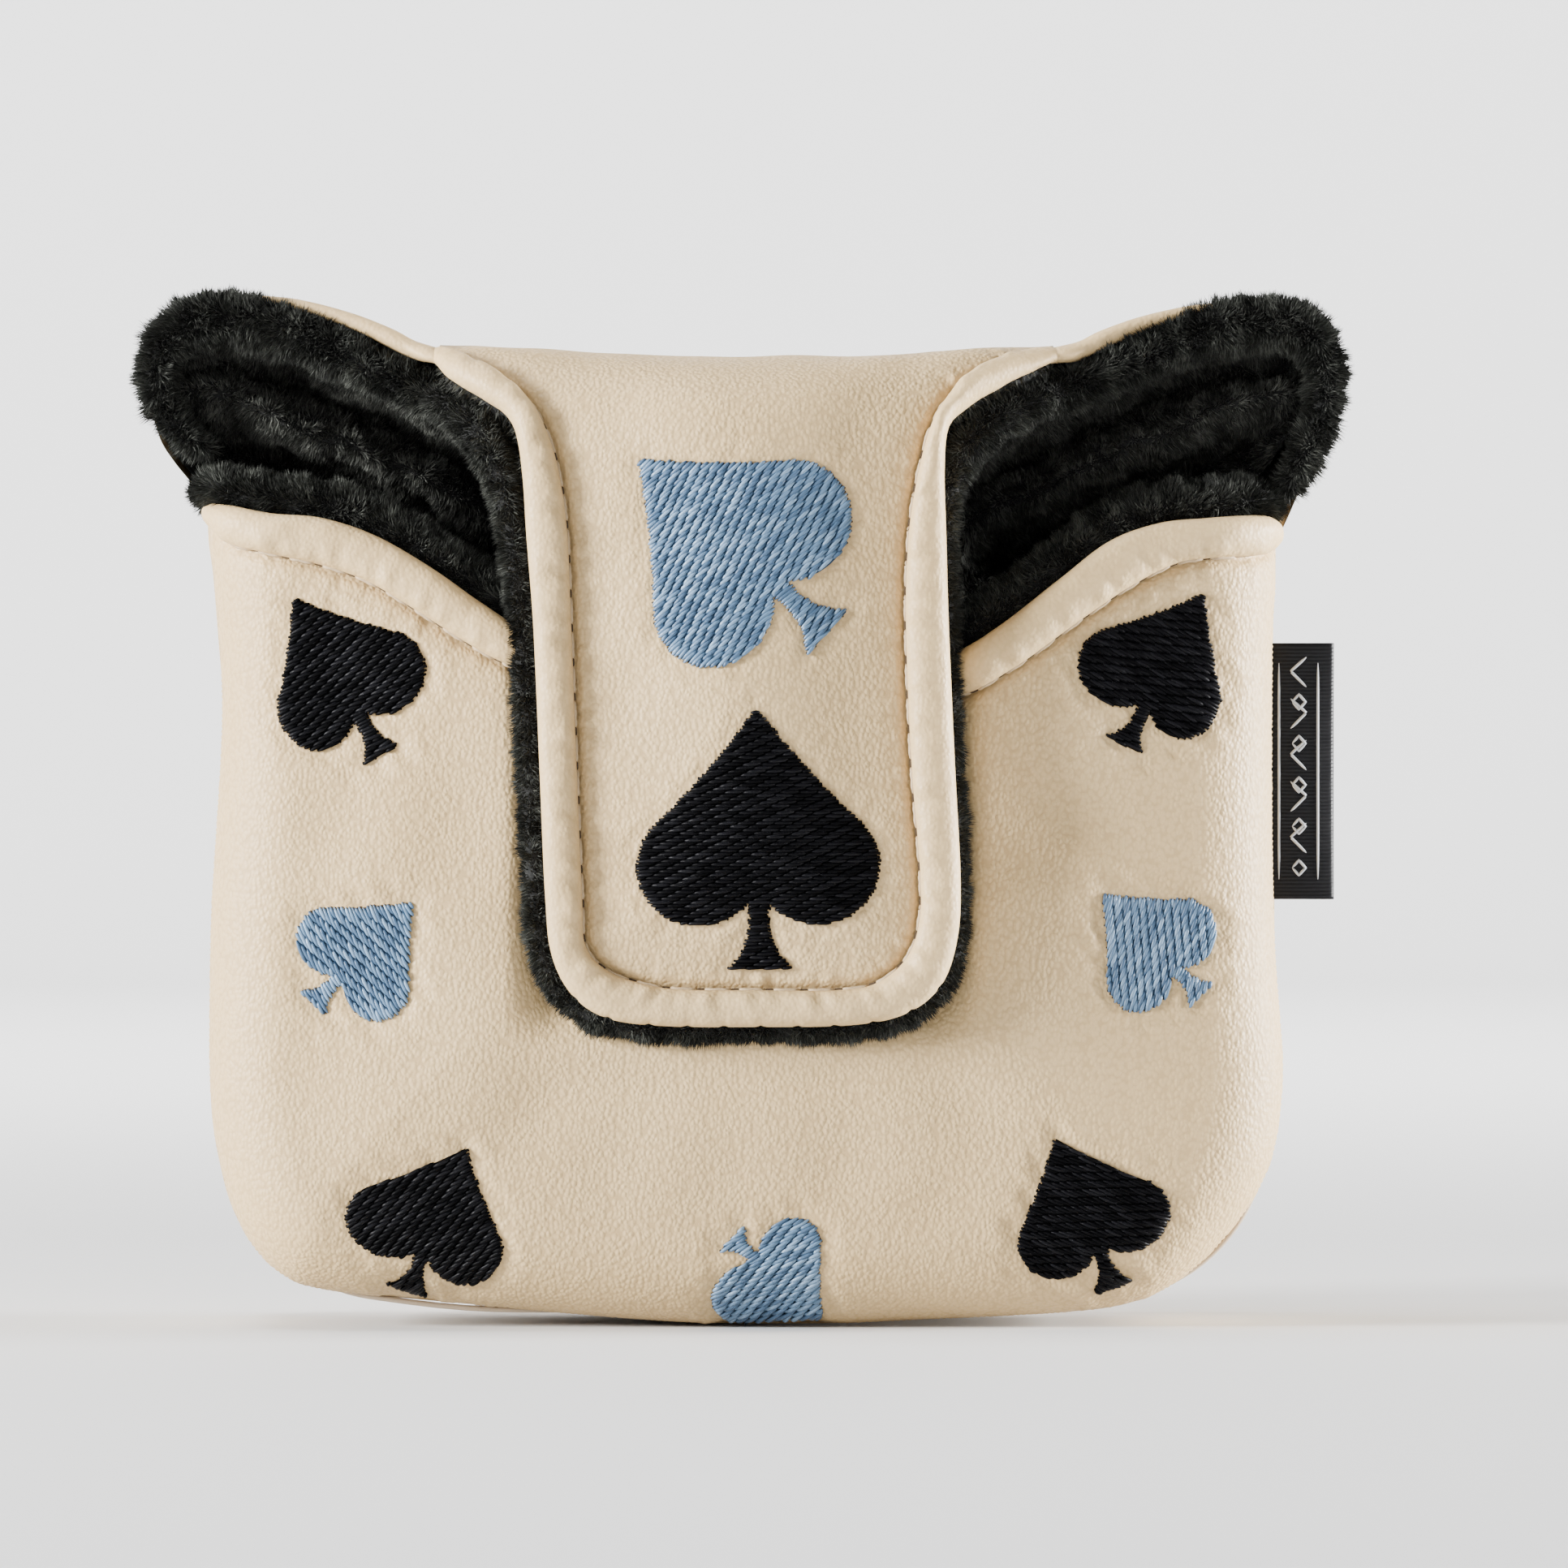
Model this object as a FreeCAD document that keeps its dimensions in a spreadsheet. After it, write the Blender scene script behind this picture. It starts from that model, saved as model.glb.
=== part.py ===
import FreeCAD, Part
import math
import os

import Sketcher

# Mallet putter head cover: a padded leather pouch with a plush lining, two flared corners beside
# its mouth, and a flap that folds over the top and lies on the front.
# Frame: millimetres, +X to the cover's right as its front is looked at, front towards -Y, +Z up.
# The origin is under the middle of the whole cover, on the surface it stands on.

V = FreeCAD.Vector
document = FreeCAD.newDocument("putter_head_cover")

# Driving dimensions: name, value in millimetres, what it is.
SIZES = [
    ("pouch_width", 129.0, "pouch across its sides"),
    ("pouch_depth", 42.0, "pouch from front face to back face"),
    ("front_y", -16.9, "where the front face lies"),
    ("edge_round", 10.0, "rounding of the front and back panels towards the seams"),
    ("corner_round", 22.0, "bottom corners, seen from the front"),
    ("base_round", 100.0, "bend between the flat base and its rising ends"),
    ("base_half", 34.0, "half of the flat base"),
    ("base_rise", 4.2, "how far the base rises towards the corners"),
    ("leather", 1.2, "leather thickness"),
    ("foam_out", 1.25, "depth where the foam starts"),
    ("foam_in", 4.2, "depth where the foam ends"),
    ("lining_out", 4.25, "depth where the plush starts"),
    ("lining_in", 6.8, "depth where the plush ends"),
    ("rim_z", 100.0, "height where gusset and back change to the ears"),
    ("mouth_side_z", 98.5, "front edge beside the ears"),
    ("mouth_dip_z", 79.5, "front edge under the flap"),
    ("mouth_side_x", 47.0, "where the front edge starts to fall towards the flap"),
    ("mouth_side_round", 30.0, "bend of the front edge there"),
    ("mouth_dip_x", 22.0, "where the front edge is level again, under the flap"),
    ("mouth_dip_round", 25.0, "bend of the front edge there"),
    ("binding_width", 4.5, "rolled leather edge"),
    ("lining_proud", 4.0, "plush above the rolled front edge"),
    ("roof_z", 116.6, "top of the roof"),
    ("roof_half", 36.5, "half width of the roof"),
    ("roof_round", 12.0, "fold of the roof, front and back"),
    ("hinge_angle", 45.0, "where the roof bends away from the back panel"),
    ("flap_half", 24.6, "half width of the flap"),
    ("flap_tip_z", 36.6, "lower end of the flap"),
    ("flap_round", 8.0, "flap corners"),
    ("flap_gap", 1.0, "air between flap lining and front panel"),
    ("flap_waist_z", 103.0, "height where the flap starts to widen into the roof"),
    ("waist_round", 9.0, "bend of the flap's edge there"),
    ("flare_z", 111.5, "height where the flap has the width of the roof"),
    ("flare_round", 5.0, "bend of the flap's edge there"),
    ("flap_lining_proud", 2.2, "plush beyond the flap's leather"),
    ("ear_gap", 1.1, "air between roof and ears"),
    ("ear_half", 73.0, "ears across, half"),
    ("ear_top_z", 126.0, "top of the ears"),
    ("ear_crest_x", 60.0, "where the ears' top edge starts to fall towards the roof"),
    ("ear_spread", 9.0, "height over which the ears spread outwards"),
    ("ear_low_round", 6.0, "bend from the pouch's side into the ear"),
    ("ear_round", 8.0, "rounding of the ears"),
    ("ear_mouth_y", -7.0, "front edge of the ears"),
    ("ear_lining_in", 3.9, "depth where the ears' plush ends"),
    ("rim_r", 2.4, "plush roll round the ears' edge"),
    ("magnet_r", 5.0, "closure magnets"),
    ("magnet_thick", 2.0, "closure magnets"),
    ("magnet_half_pitch", 12.0, "half the distance between two magnets"),
    ("magnet_z", 52.0, "height of the magnets"),
    ("thread_r", 0.35, "sewing thread of the seams"),
    ("stitch_pitch", 4.1, "topstitch pitch"),
    ("stitch_long", 3.2, "visible length of a stitch"),
    ("stitch_thick", 0.5, "stitch width"),
    ("stitch_high", 0.4, "stitch height over the leather"),
    ("thread_pile", 0.4, "height of the embroidery over the leather"),
    ("label_long", 7.0, "label beyond the seam"),
    ("label_tuck", 1.1, "label inside the seam"),
    ("label_high", 30.7, "label along the seam"),
    ("label_low_z", 51.7, "lower end of the label"),
    ("label_cloth", 0.4, "thickness of one layer of the label"),
    ("label_fold_r", 0.12, "inside of the label's fold"),
]

sheet = document.addObject("Spreadsheet::Sheet", "Sizes")
for row, (alias, value, note) in enumerate(SIZES, start=1):
    sheet.set(f"A{row}", alias)
    sheet.set(f"B{row}", str(value))
    sheet.setAlias(f"B{row}", alias)
    sheet.set(f"C{row}", note)
document.recompute()

CLEAR = 30.0           # how far a cutting shape runs past what it cuts
TOP_Z = 140.0          # above everything
DEEP = 60.0            # further to the front or the back than anything reaches
EAR_RUN_ON = 12.0      # how far an ear's outline runs on inwards past what is kept
PAST = 5.0             # how far a cut runs past the faces it has to clear
MAGNET_COVER = 0.4     # foam left over a magnet
STITCH_BESIDE = 0.6    # topstitching this far inside the rolled edge
SEAM_ROOM = 0.4        # the foam stops this far from a seam, where the thread runs
JOIN_AIR = 0.05        # air between two soft layers that lie on each other
RIM_START_SHARE = 0.3   # the roll of plush starts this share of the way up the ear's outer side
POCKET_AIR = 0.1       # air round a magnet in its pocket
HINGE_AIR = 0.5        # air between the moving and the standing side of the fold
STRAIGHT = 1e-9        # two sides that turn less than this are one line
FLAT = 1e-6            # an edge that reaches less than this towards the back lies in an end face
UPRIGHT = FreeCAD.Rotation(V(1, 0, 0), 90)                                     # sketch seen from the front
SIDEWAYS = FreeCAD.Rotation(V(0, 1, 0), V(0, 0, 1), V(1, 0, 0), "ZXY")         # sketch seen from the right

parts = []             # the finished sub-parts


def mm(alias):
    """A driving dimension as a number."""
    return float(sheet.get(alias))


# ---- outlines ------------------------------------------------------------------------------------

def inset_corners(corners, inset):
    """Move every side of an anticlockwise outline of (x, z, radius) corners inwards by inset."""
    moved = []
    count = len(corners)
    for index in range(count):
        before, here, after = (V(*corners[(index + step) % count][:2], 0) for step in (-1, 0, 1))
        first = (here - before).normalize()
        second = (after - here).normalize()
        first_in = V(-first.y, first.x, 0)
        second_in = V(-second.y, second.x, 0)
        turn = first.x * second.y - first.y * second.x
        if abs(turn) < STRAIGHT:
            point = here + first_in * inset
        else:
            shift = second_in * inset - first_in * inset
            along = (shift.x * second.y - shift.y * second.x) / turn
            point = here + first_in * inset + first * along
        radius = corners[index][2]
        if radius > 0:
            radius = radius - inset if turn > 0 else radius + inset
        moved.append((point.x, point.y, max(radius, 0)))
    return moved


def round_corner(before, corner, after, radius):
    """The tangent arc that rounds a corner, as its start, middle and end."""
    to_before = (before - corner).normalize()
    to_after = (after - corner).normalize()
    half = to_before.getAngle(to_after) / 2
    reach = radius / math.tan(half)
    middle = (to_before + to_after).normalize() * (radius / math.sin(half) - radius)
    return corner + to_before * reach, corner + middle, corner + to_after * reach


def outline(corners, closed=True):
    """Lines and tangent arcs through (x, z, radius) corners."""
    points = [V(x, z, 0) for x, z, _ in corners]
    count = len(points)
    pieces = []
    for index, (_, _, radius) in enumerate(corners):
        if radius > 0:
            pieces.append(round_corner(points[index - 1], points[index], points[(index + 1) % count], radius))
        else:
            pieces.append((points[index],) * 3)
    edges = []
    for index, (start, middle, end) in enumerate(pieces):
        if start != end:
            edges.append(Part.Arc(start, middle, end))
        if closed or index < count - 1:
            following = pieces[(index + 1) % count][0]
            edges.append(Part.LineSegment(end, following))
    return edges


def mirrored(corners):
    """The same outline on the cover's other side, still anticlockwise."""
    return [(-x, z, radius) for x, z, radius in reversed(corners)]


# ---- document helpers ----------------------------------------------------------------------------

def drawn(name, edges, rotation=UPRIGHT):
    """A sketch that holds the given lines and arcs."""
    sketch = document.addObject("Sketcher::SketchObject", name + "_sketch")
    sketch.addGeometry(edges, False)
    sketch.Placement = FreeCAD.Placement(V(0, 0, 0), rotation)
    return sketch


def prism(name, corners, start, length):
    """An outline seen from the front, made solid from the depth start towards the back."""
    solid = document.addObject("Part::Extrusion", name)
    solid.Base = drawn(name, outline(corners))
    solid.Base.setExpression("Placement.Base.y", start)
    solid.DirMode = "Custom"
    solid.Dir = V(0, 1, 0)
    solid.Solid = True
    solid.setExpression("LengthFwd", length)
    return solid


def slab(name, edges, half_width):
    """A profile seen from the right, made solid to both sides of the middle."""
    solid = document.addObject("Part::Extrusion", name)
    solid.Base = drawn(name, edges, SIDEWAYS)
    solid.DirMode = "Custom"
    solid.Dir = V(1, 0, 0)
    solid.Solid = True
    solid.setExpression("LengthFwd", half_width)
    solid.setExpression("LengthRev", half_width)
    return solid


def block(name, low, high):
    """A box between two corners, each given as three expressions."""
    solid = document.addObject("Part::Box", name)
    for axis, size, first, last in zip("xyz", ("Length", "Width", "Height"), low, high):
        solid.setExpression("Placement.Base." + axis, first)
        solid.setExpression(size, f"({last}) - ({first})")
    return solid


def minus(name, base, tool):
    result = document.addObject("Part::Cut", name)
    result.Base = base
    result.Tool = tool
    return result


def within(name, base, tool):
    result = document.addObject("Part::Common", name)
    result.Base = base
    result.Tool = tool
    return result


def joined(name, shapes):
    result = document.addObject("Part::MultiFuse", name)
    result.Shapes = shapes
    result.Refine = True
    return result


def keep(shape_object, label):
    """Name a finished sub-part."""
    shape_object.Label = label
    parts.append(shape_object)
    return shape_object


# ---- the pouch: leather, foam and plush, one inside the other ------------------------------------

FRONT = "Sizes.front_y"
BACK = "(Sizes.front_y + Sizes.pouch_depth)"
FRONT_SEAM = "(Sizes.front_y + Sizes.edge_round)"
BACK_SEAM = "(Sizes.front_y + Sizes.pouch_depth - Sizes.edge_round)"
SIDE = "(Sizes.pouch_width / 2 + 20)"


def pouch_corners(top=TOP_Z):
    half = mm("pouch_width") / 2
    flat = mm("base_half")
    rise = mm("base_rise")
    bend = mm("base_round")
    corner = mm("corner_round")
    return [(-flat, 0, bend), (flat, 0, bend), (half, rise, corner),
            (half, top, 0), (-half, top, 0), (-half, rise, corner)]


def pouch(name, depth_alias):
    """The pouch's full form at a depth under its outer surface."""
    depth = mm(depth_alias) if depth_alias else 0.0
    under = f"Sizes.{depth_alias}" if depth_alias else "0"
    corners = inset_corners(pouch_corners(TOP_Z + depth), depth)
    body = prism(name + "_block", corners, f"{FRONT} + {under}", f"Sizes.pouch_depth - 2 * {under}")
    return rounded(name, body, mm("edge_round") - depth)


def rounded(name, body, radius):
    """Round the front and back rims of a prism."""
    document.recompute()
    result = document.addObject("Part::Fillet", name)
    result.Base = body
    result.Edges = [(index, radius, radius) for index, edge in enumerate(body.Shape.Edges, start=1)
                    if edge.BoundBox.YLength < FLAT]
    return result


def mouth_corners(lift):
    """Everything under the front panel's upper edge, with the edge moved up by lift."""
    side = mm("pouch_width") / 2 + CLEAR
    high = mm("mouth_side_z") + lift
    low = mm("mouth_dip_z") + lift
    outer = mm("mouth_side_x")
    inner = mm("mouth_dip_x")
    outer_bend = mm("mouth_side_round")
    inner_bend = mm("mouth_dip_round")
    return [(-side, -CLEAR, 0), (side, -CLEAR, 0), (side, high, 0), (outer, high, outer_bend),
            (inner, low, inner_bend), (-inner, low, inner_bend), (-outer, high, outer_bend), (-side, high, 0)]


outer_form = pouch("outer_form", None)
leather_form = pouch("leather_form", "leather")
foam_out_form = pouch("foam_out_form", "foam_out")
foam_in_form = pouch("foam_in_form", "foam_in")
lining_out_form = pouch("lining_out_form", "lining_out")
lining_in_form = pouch("lining_in_form", "lining_in")
leather_layer = minus("leather_layer", outer_form, leather_form)
foam_layer = minus("foam_layer", foam_out_form, foam_in_form)
lining_layer = minus("lining_layer", lining_out_form, lining_in_form)
edge_layer = minus("edge_layer", outer_form, foam_in_form)


def zone(name, first_y, last_y, top="Sizes.rim_z"):
    return block(name, (f"-{SIDE}", first_y, "-10"), (SIDE, last_y, top))


def front_zone(name, lift, last_y=FRONT_SEAM):
    return prism(name, mouth_corners(lift), f"{FRONT} - {PAST}", f"{last_y} - ({FRONT}) + {PAST}")


def magnets(name, first_y, radius, thickness):
    """Two discs side by side, facing the front."""
    discs = []
    for side, word in ((-1, "left"), (1, "right")):
        disc = document.addObject("Part::Cylinder", f"{name}_{word}")
        disc.setExpression("Radius", radius)
        disc.setExpression("Height", thickness)
        disc.Placement = FreeCAD.Placement(V(0, 0, 0), FreeCAD.Rotation(V(1, 0, 0), -90))
        disc.setExpression("Placement.Base.x", f"{side} * Sizes.magnet_half_pitch")
        disc.setExpression("Placement.Base.y", first_y)
        disc.setExpression("Placement.Base.z", "Sizes.magnet_z")
        discs.append(disc)
    pair = document.addObject("Part::Compound", name)
    pair.Links = discs
    return pair


FLAP_FRONT = "(Sizes.front_y - Sizes.flap_gap - Sizes.lining_in)"
FLAP_MAGNET_Y = f"{FLAP_FRONT} + Sizes.foam_out + {MAGNET_COVER}"
BODY_MAGNET_Y = f"{FRONT} + Sizes.foam_out + {MAGNET_COVER}"


def pockets(name, magnet_y):
    """The room in the foam for a pair of magnets whose front faces lie at magnet_y."""
    return magnets(name, f"{magnet_y} - {POCKET_AIR / 2}", f"Sizes.magnet_r + {POCKET_AIR}",
                   f"Sizes.magnet_thick + {POCKET_AIR}")


def build_front():
    binding = mm("binding_width")
    keep(within("front_leather", leather_layer, front_zone("front_leather_zone", -binding)), "front_panel")
    foam_room = front_zone("front_foam_zone", -binding, f"{FRONT_SEAM} - {SEAM_ROOM}")
    foam = within("front_foam_blank", foam_layer, foam_room)
    keep(minus("front_foam_cut", foam, pockets("front_pockets", BODY_MAGNET_Y)), "front_foam")
    lining_room = front_zone("front_lining_zone", mm("lining_proud"))
    keep(within("front_plush", lining_layer, lining_room), "front_lining")
    edge = minus("front_edge_band", front_zone("edge_top_zone", 0), front_zone("edge_low_zone", -binding))
    keep(within("front_edge", edge_layer, edge), "front_binding")


def build_gusset():
    keep(within("gusset_leather", leather_layer, zone("gusset_zone", FRONT_SEAM, BACK_SEAM)), "gusset")
    foam_room = zone("gusset_foam_zone", f"{FRONT_SEAM} + {SEAM_ROOM}", f"{BACK_SEAM} - {SEAM_ROOM}")
    keep(within("gusset_padding", foam_layer, foam_room), "gusset_foam")
    keep(within("gusset_plush", lining_layer, zone("gusset_lining_zone", FRONT_SEAM, BACK_SEAM)),
         "gusset_lining")


# ---- the roof and flap profile, seen from the right ----------------------------------------------

def back_y():
    return mm("front_y") + mm("pouch_depth")


def flap_outer_y():
    return mm("front_y") - mm("flap_gap") - mm("lining_in")


def on_circle(centre, radius, degrees):
    angle = math.radians(degrees)
    return V(centre.x + radius * math.cos(angle), centre.y + radius * math.sin(angle), 0)


def bend(centre, radius, start, end):
    """An arc from one angle to another, in degrees."""
    middle = (start + end) / 2
    return Part.Arc(*(on_circle(centre, radius, angle) for angle in (start, middle, end)))


def back_fold_centre():
    return V(back_y() - mm("roof_round"), mm("roof_z") - mm("roof_round"), 0)


def front_fold_centre():
    return V(flap_outer_y() + mm("roof_round"), mm("roof_z") - mm("roof_round"), 0)


def flap_profile(outer, inner, start_angle, end_z):
    """The band between two depths, from the hinge over the roof and down to the flap's tip."""
    back = back_fold_centre()
    front = front_fold_centre()
    edges = []
    ends = []
    for depth in (outer, inner):
        radius = mm("roof_round") - depth
        first = bend(back, radius, start_angle, 90)
        second = bend(front, radius, 90, 180)
        tip = V(flap_outer_y() + depth, end_z, 0)
        edges.append(first)
        edges.append(Part.LineSegment(on_circle(back, radius, 90), on_circle(front, radius, 90)))
        edges.append(second)
        edges.append(Part.LineSegment(on_circle(front, radius, 180), tip))
        ends.append((on_circle(back, radius, start_angle), tip))
    for from_outer, to_inner in zip(*ends):
        edges.append(Part.LineSegment(from_outer, to_inner))
    return edges


def back_top_profile(outer, inner, end_angle):
    """The band of the back panel from the ears' lower edge up to the hinge."""
    centre = back_fold_centre()
    low = mm("rim_z")
    edges = []
    ends = []
    for depth in (outer, inner):
        radius = mm("roof_round") - depth
        foot = V(back_y() - depth, low, 0)
        edges.append(Part.LineSegment(foot, on_circle(centre, radius, 0)))
        edges.append(bend(centre, radius, 0, end_angle))
        ends.append((foot, on_circle(centre, radius, end_angle)))
    for from_outer, to_inner in zip(*ends):
        edges.append(Part.LineSegment(from_outer, to_inner))
    return edges


def hinge_line():
    """Middle of the leather, where the fold turns."""
    return on_circle(back_fold_centre(), mm("roof_round") - mm("leather") / 2, mm("hinge_angle"))


def angle_beside_hinge(distance, depth):
    """The profile angle that lies a distance below the hinge plane at a depth."""
    return mm("hinge_angle") - math.degrees(distance / (mm("roof_round") - depth))


# ---- the ears: the flared corners of the back panel ----------------------------------------------

def ear_corners():
    """The right ear from the front, run on downwards and inwards past what is kept."""
    side = mm("pouch_width") / 2
    half = mm("ear_half")
    top = mm("ear_top_z")
    low = mm("rim_z")
    turn = mm("ear_round")
    crest = mm("ear_crest_x")
    fall = (top - mm("roof_z")) / (crest - mm("roof_half"))
    inward = mm("roof_half") - EAR_RUN_ON
    return [(inward, low - CLEAR, 0), (side, low - CLEAR, 0), (side, low, mm("ear_low_round")),
            (half, low + mm("ear_spread"), turn), (half, top, turn), (crest, top, turn),
            (inward, top - fall * (crest - inward), 0)]


EAR_FRONT = "Sizes.ear_mouth_y"
EAR_INNER = "(Sizes.roof_half + Sizes.ear_gap)"


def ear_form(name, corners, depth, mouth=EAR_FRONT):
    shape = inset_corners(corners, depth)
    return prism(name, shape, mouth, f"{BACK} - {depth} - ({mouth})")


def ear_shell(name, side, outer, inner):
    """The ear's wall and back between two depths; side is +1 for the right ear."""
    corners = ear_corners() if side > 0 else mirrored(ear_corners())
    full = ear_form(name + "_full", corners, outer)
    hollow = ear_form(name + "_hollow", corners, inner, f"{EAR_FRONT} - {PAST}")
    shell = minus(name + "_walls", full, hollow)
    low_x, high_x = (EAR_INNER, "90") if side > 0 else ("-90", f"-{EAR_INNER}")
    room = block(name + "_room", (low_x, f"{FRONT} - {PAST}", "Sizes.rim_z"),
                 (high_x, f"{BACK} + {PAST}", f"{TOP_Z}"))
    return within(name, shell, room)


def build_ear_lining(side, label):
    keep(ear_shell(label + "_plush", side, mm("leather") + JOIN_AIR, mm("ear_lining_in")), label + "_lining")


def between(first, second, share):
    """A sharp corner on the straight line from one corner to the next."""
    return tuple(a + (b - a) * share for a, b in zip(first[:2], second[:2])) + (0,)


def build_ear_rim(side, label):
    """The plush turned over the ear's edge: a soft roll round the ear's mouth."""
    depth = (mm("leather") + mm("ear_lining_in")) / 2
    corners = inset_corners(ear_corners(), depth)[2:]
    corners[0] = between(corners[0], corners[1], RIM_START_SHARE)
    end_x = mm("roof_half") + mm("ear_gap") + mm("rim_r")
    share = (corners[-2][0] - end_x) / (corners[-2][0] - corners[-1][0])
    corners[-1] = between(corners[-2], corners[-1], share)
    path = [(side * x, z, radius) for x, z, radius in corners]
    spine = drawn(label + "_rim_path", outline(path, closed=False))
    spine.setExpression("Placement.Base.y", f"{EAR_FRONT} - Sizes.rim_r - {JOIN_AIR}")
    document.recompute()
    start = spine.Shape.Vertexes[0].Point
    section = document.addObject("Part::Circle", label + "_rim_section")
    section.setExpression("Radius", "Sizes.rim_r")
    section.Placement = FreeCAD.Placement(start, FreeCAD.Rotation())
    roll = document.addObject("Part::Sweep", label + "_rim_roll")
    roll.Sections = [section]
    roll.Spine = (spine, [f"Edge{index + 1}" for index in range(len(spine.Shape.Edges))])
    roll.Solid = True
    roll.Frenet = False
    roll.Transition = "Round corner"
    keep(roll, label + "_rim")


def build_back():
    tray = within("back_leather", leather_layer, zone("back_zone", BACK_SEAM, f"{BACK} + {PAST}"))
    reach = mm("leather") / 2 + HINGE_AIR
    fold_end = angle_beside_hinge(reach, mm("leather") / 2)
    fold = slab("back_fold", back_top_profile(0, mm("leather"), fold_end), EAR_INNER)
    ears = [ear_shell("ear_leather_" + name, side, 0, mm("leather")) for side, name in
            ((1, "right"), (-1, "left"))]
    keep(joined("back_leather_whole", [tray, fold] + ears), "back_panel")

    foam_room = zone("back_foam_zone", f"{BACK_SEAM} + {SEAM_ROOM}", f"{BACK} + {PAST}")
    foam_tray = within("back_foam_tray", foam_layer, foam_room)
    foam_angle = angle_beside_hinge(HINGE_AIR, mm("foam_out"))
    foam_fold = slab("back_foam_fold", back_top_profile(mm("foam_out"), mm("foam_in"), foam_angle),
                     "Sizes.roof_half")
    keep(joined("back_foam_whole", [foam_tray, foam_fold]), "back_foam")

    plush_room = zone("back_lining_zone", BACK_SEAM, f"{BACK} + {PAST}")
    plush_tray = within("back_plush_tray", lining_layer, plush_room)
    plush_angle = angle_beside_hinge(HINGE_AIR, mm("lining_out"))
    plush_fold = slab("back_plush_fold", back_top_profile(mm("lining_out"), mm("lining_in"), plush_angle),
                      "Sizes.roof_half")
    keep(joined("back_plush_whole", [plush_tray, plush_fold]), "back_lining")


# ---- the flap ------------------------------------------------------------------------------------

def flap_corners(grow):
    """The flap and roof from the front; the flap part is grown, the roof part keeps its width."""
    half = mm("flap_half") + grow
    tip = mm("flap_tip_z") - grow
    roof = mm("roof_half")
    waist = mm("flap_waist_z")
    turn = mm("flap_round") + grow
    flare = mm("flare_z")
    waist_bend = mm("waist_round")
    flare_bend = mm("flare_round")
    return [(-half, tip, turn), (half, tip, turn), (half, waist, waist_bend), (roof, flare, flare_bend),
            (roof, TOP_Z, 0), (-roof, TOP_Z, 0), (-roof, flare, flare_bend), (-half, waist, waist_bend)]


def flap_room(name, grow):
    return prism(name, flap_corners(grow), f"-{DEEP}", f"2 * {DEEP}")


def flap_band(name, outer, inner):
    profile = flap_profile(outer, inner, mm("hinge_angle"), mm("flap_tip_z") - CLEAR)
    return slab(name, profile, "Sizes.roof_half")


def build_flap():
    edge = mm("binding_width")
    skin = within("flap_skin", flap_band("flap_skin_band", 0, mm("leather")),
                  flap_room("flap_skin_room", -edge - JOIN_AIR))
    bead = document.addObject("Part::Cylinder", "flap_bead")
    bead.setExpression("Radius", "Sizes.leather / 2")
    bead.setExpression("Height", "2 * Sizes.roof_half")
    turning = hinge_line()
    bead.Placement = FreeCAD.Placement(V(-mm("roof_half"), turning.x, turning.y),
                                       FreeCAD.Rotation(V(0, 1, 0), 90))
    keep(joined("flap_skin_whole", [skin, bead]), "flap_shell")

    padding = within("flap_padding", flap_band("flap_foam_band", mm("foam_out"), mm("foam_in")),
                     flap_room("flap_foam_room", -edge - JOIN_AIR))
    keep(minus("flap_foam_cut", padding, pockets("flap_pockets", FLAP_MAGNET_Y)), "flap_foam")

    plush = within("flap_plush", flap_band("flap_plush_band", mm("lining_out"), mm("lining_in")),
                   flap_room("flap_plush_room", mm("flap_lining_proud")))
    keep(plush, "flap_lining")

    ring = minus("flap_ring", flap_room("flap_edge_out", 0), flap_room("flap_edge_in", -edge))
    front_ring = within("flap_front_ring", ring, block("flap_front_half", (f"-{DEEP}", f"-{DEEP}", "0"),
                                                       (f"{DEEP}", "0", f"{TOP_Z}")))
    keep(within("flap_edge", flap_band("flap_edge_band", 0, mm("foam_in")), front_ring), "flap_binding")


# ---- thread, label, magnets ----------------------------------------------------------------------

def stitches(label, path, face_y, low_z, high_z):
    """A row of separate stitches on a face towards the front, between two heights."""
    count = max(2, round(path.Length / mm("stitch_pitch")) + 1)
    places = path.discretize(Number=count)
    solids = []
    for start, end in zip(places, places[1:]):
        middle = (start + end) / 2
        if not low_z < middle.z < high_z:
            continue
        along = (end - start).normalize()
        stitch = Part.makeBox(mm("stitch_long"), mm("stitch_high"), mm("stitch_thick"),
                              V(-mm("stitch_long") / 2, -mm("stitch_high"), -mm("stitch_thick") / 2))
        turn = math.degrees(math.atan2(along.z, along.x))
        stitch.Placement = FreeCAD.Placement(V(middle.x, face_y, middle.z),
                                             FreeCAD.Rotation(V(0, -1, 0), turn))
        solids.append(stitch)
    row = document.addObject("Part::Feature", label + "_row")
    row.Shape = Part.makeCompound(solids)
    keep(row, label)


def upright_wire(corners, closed, depth_y=0.0):
    """An outline as a wire standing in the cover's frame."""
    wire = Part.Wire([edge.toShape() for edge in outline(corners, closed)])
    wire.Placement = FreeCAD.Placement(V(0, depth_y, 0), UPRIGHT)
    return wire


def build_topstitching():
    beside = mm("binding_width") + STITCH_BESIDE
    flap_line = flap_corners(-beside)
    open_line = flap_line[5:] + flap_line[:5]
    path = upright_wire(open_line[1:-1], closed=False)
    stitches("flap_topstitch", path, flap_outer_y(), 0, mm("flap_waist_z") - 4)
    front_line = mouth_corners(-beside)[2:]
    half = mm("pouch_width") / 2 - mm("edge_round")
    front_line[0] = (half, front_line[0][1], 0)
    front_line[-1] = (-half, front_line[-1][1], 0)
    stitches("front_topstitch", upright_wire(front_line, closed=False), mm("front_y"), 0, TOP_Z)


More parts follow.
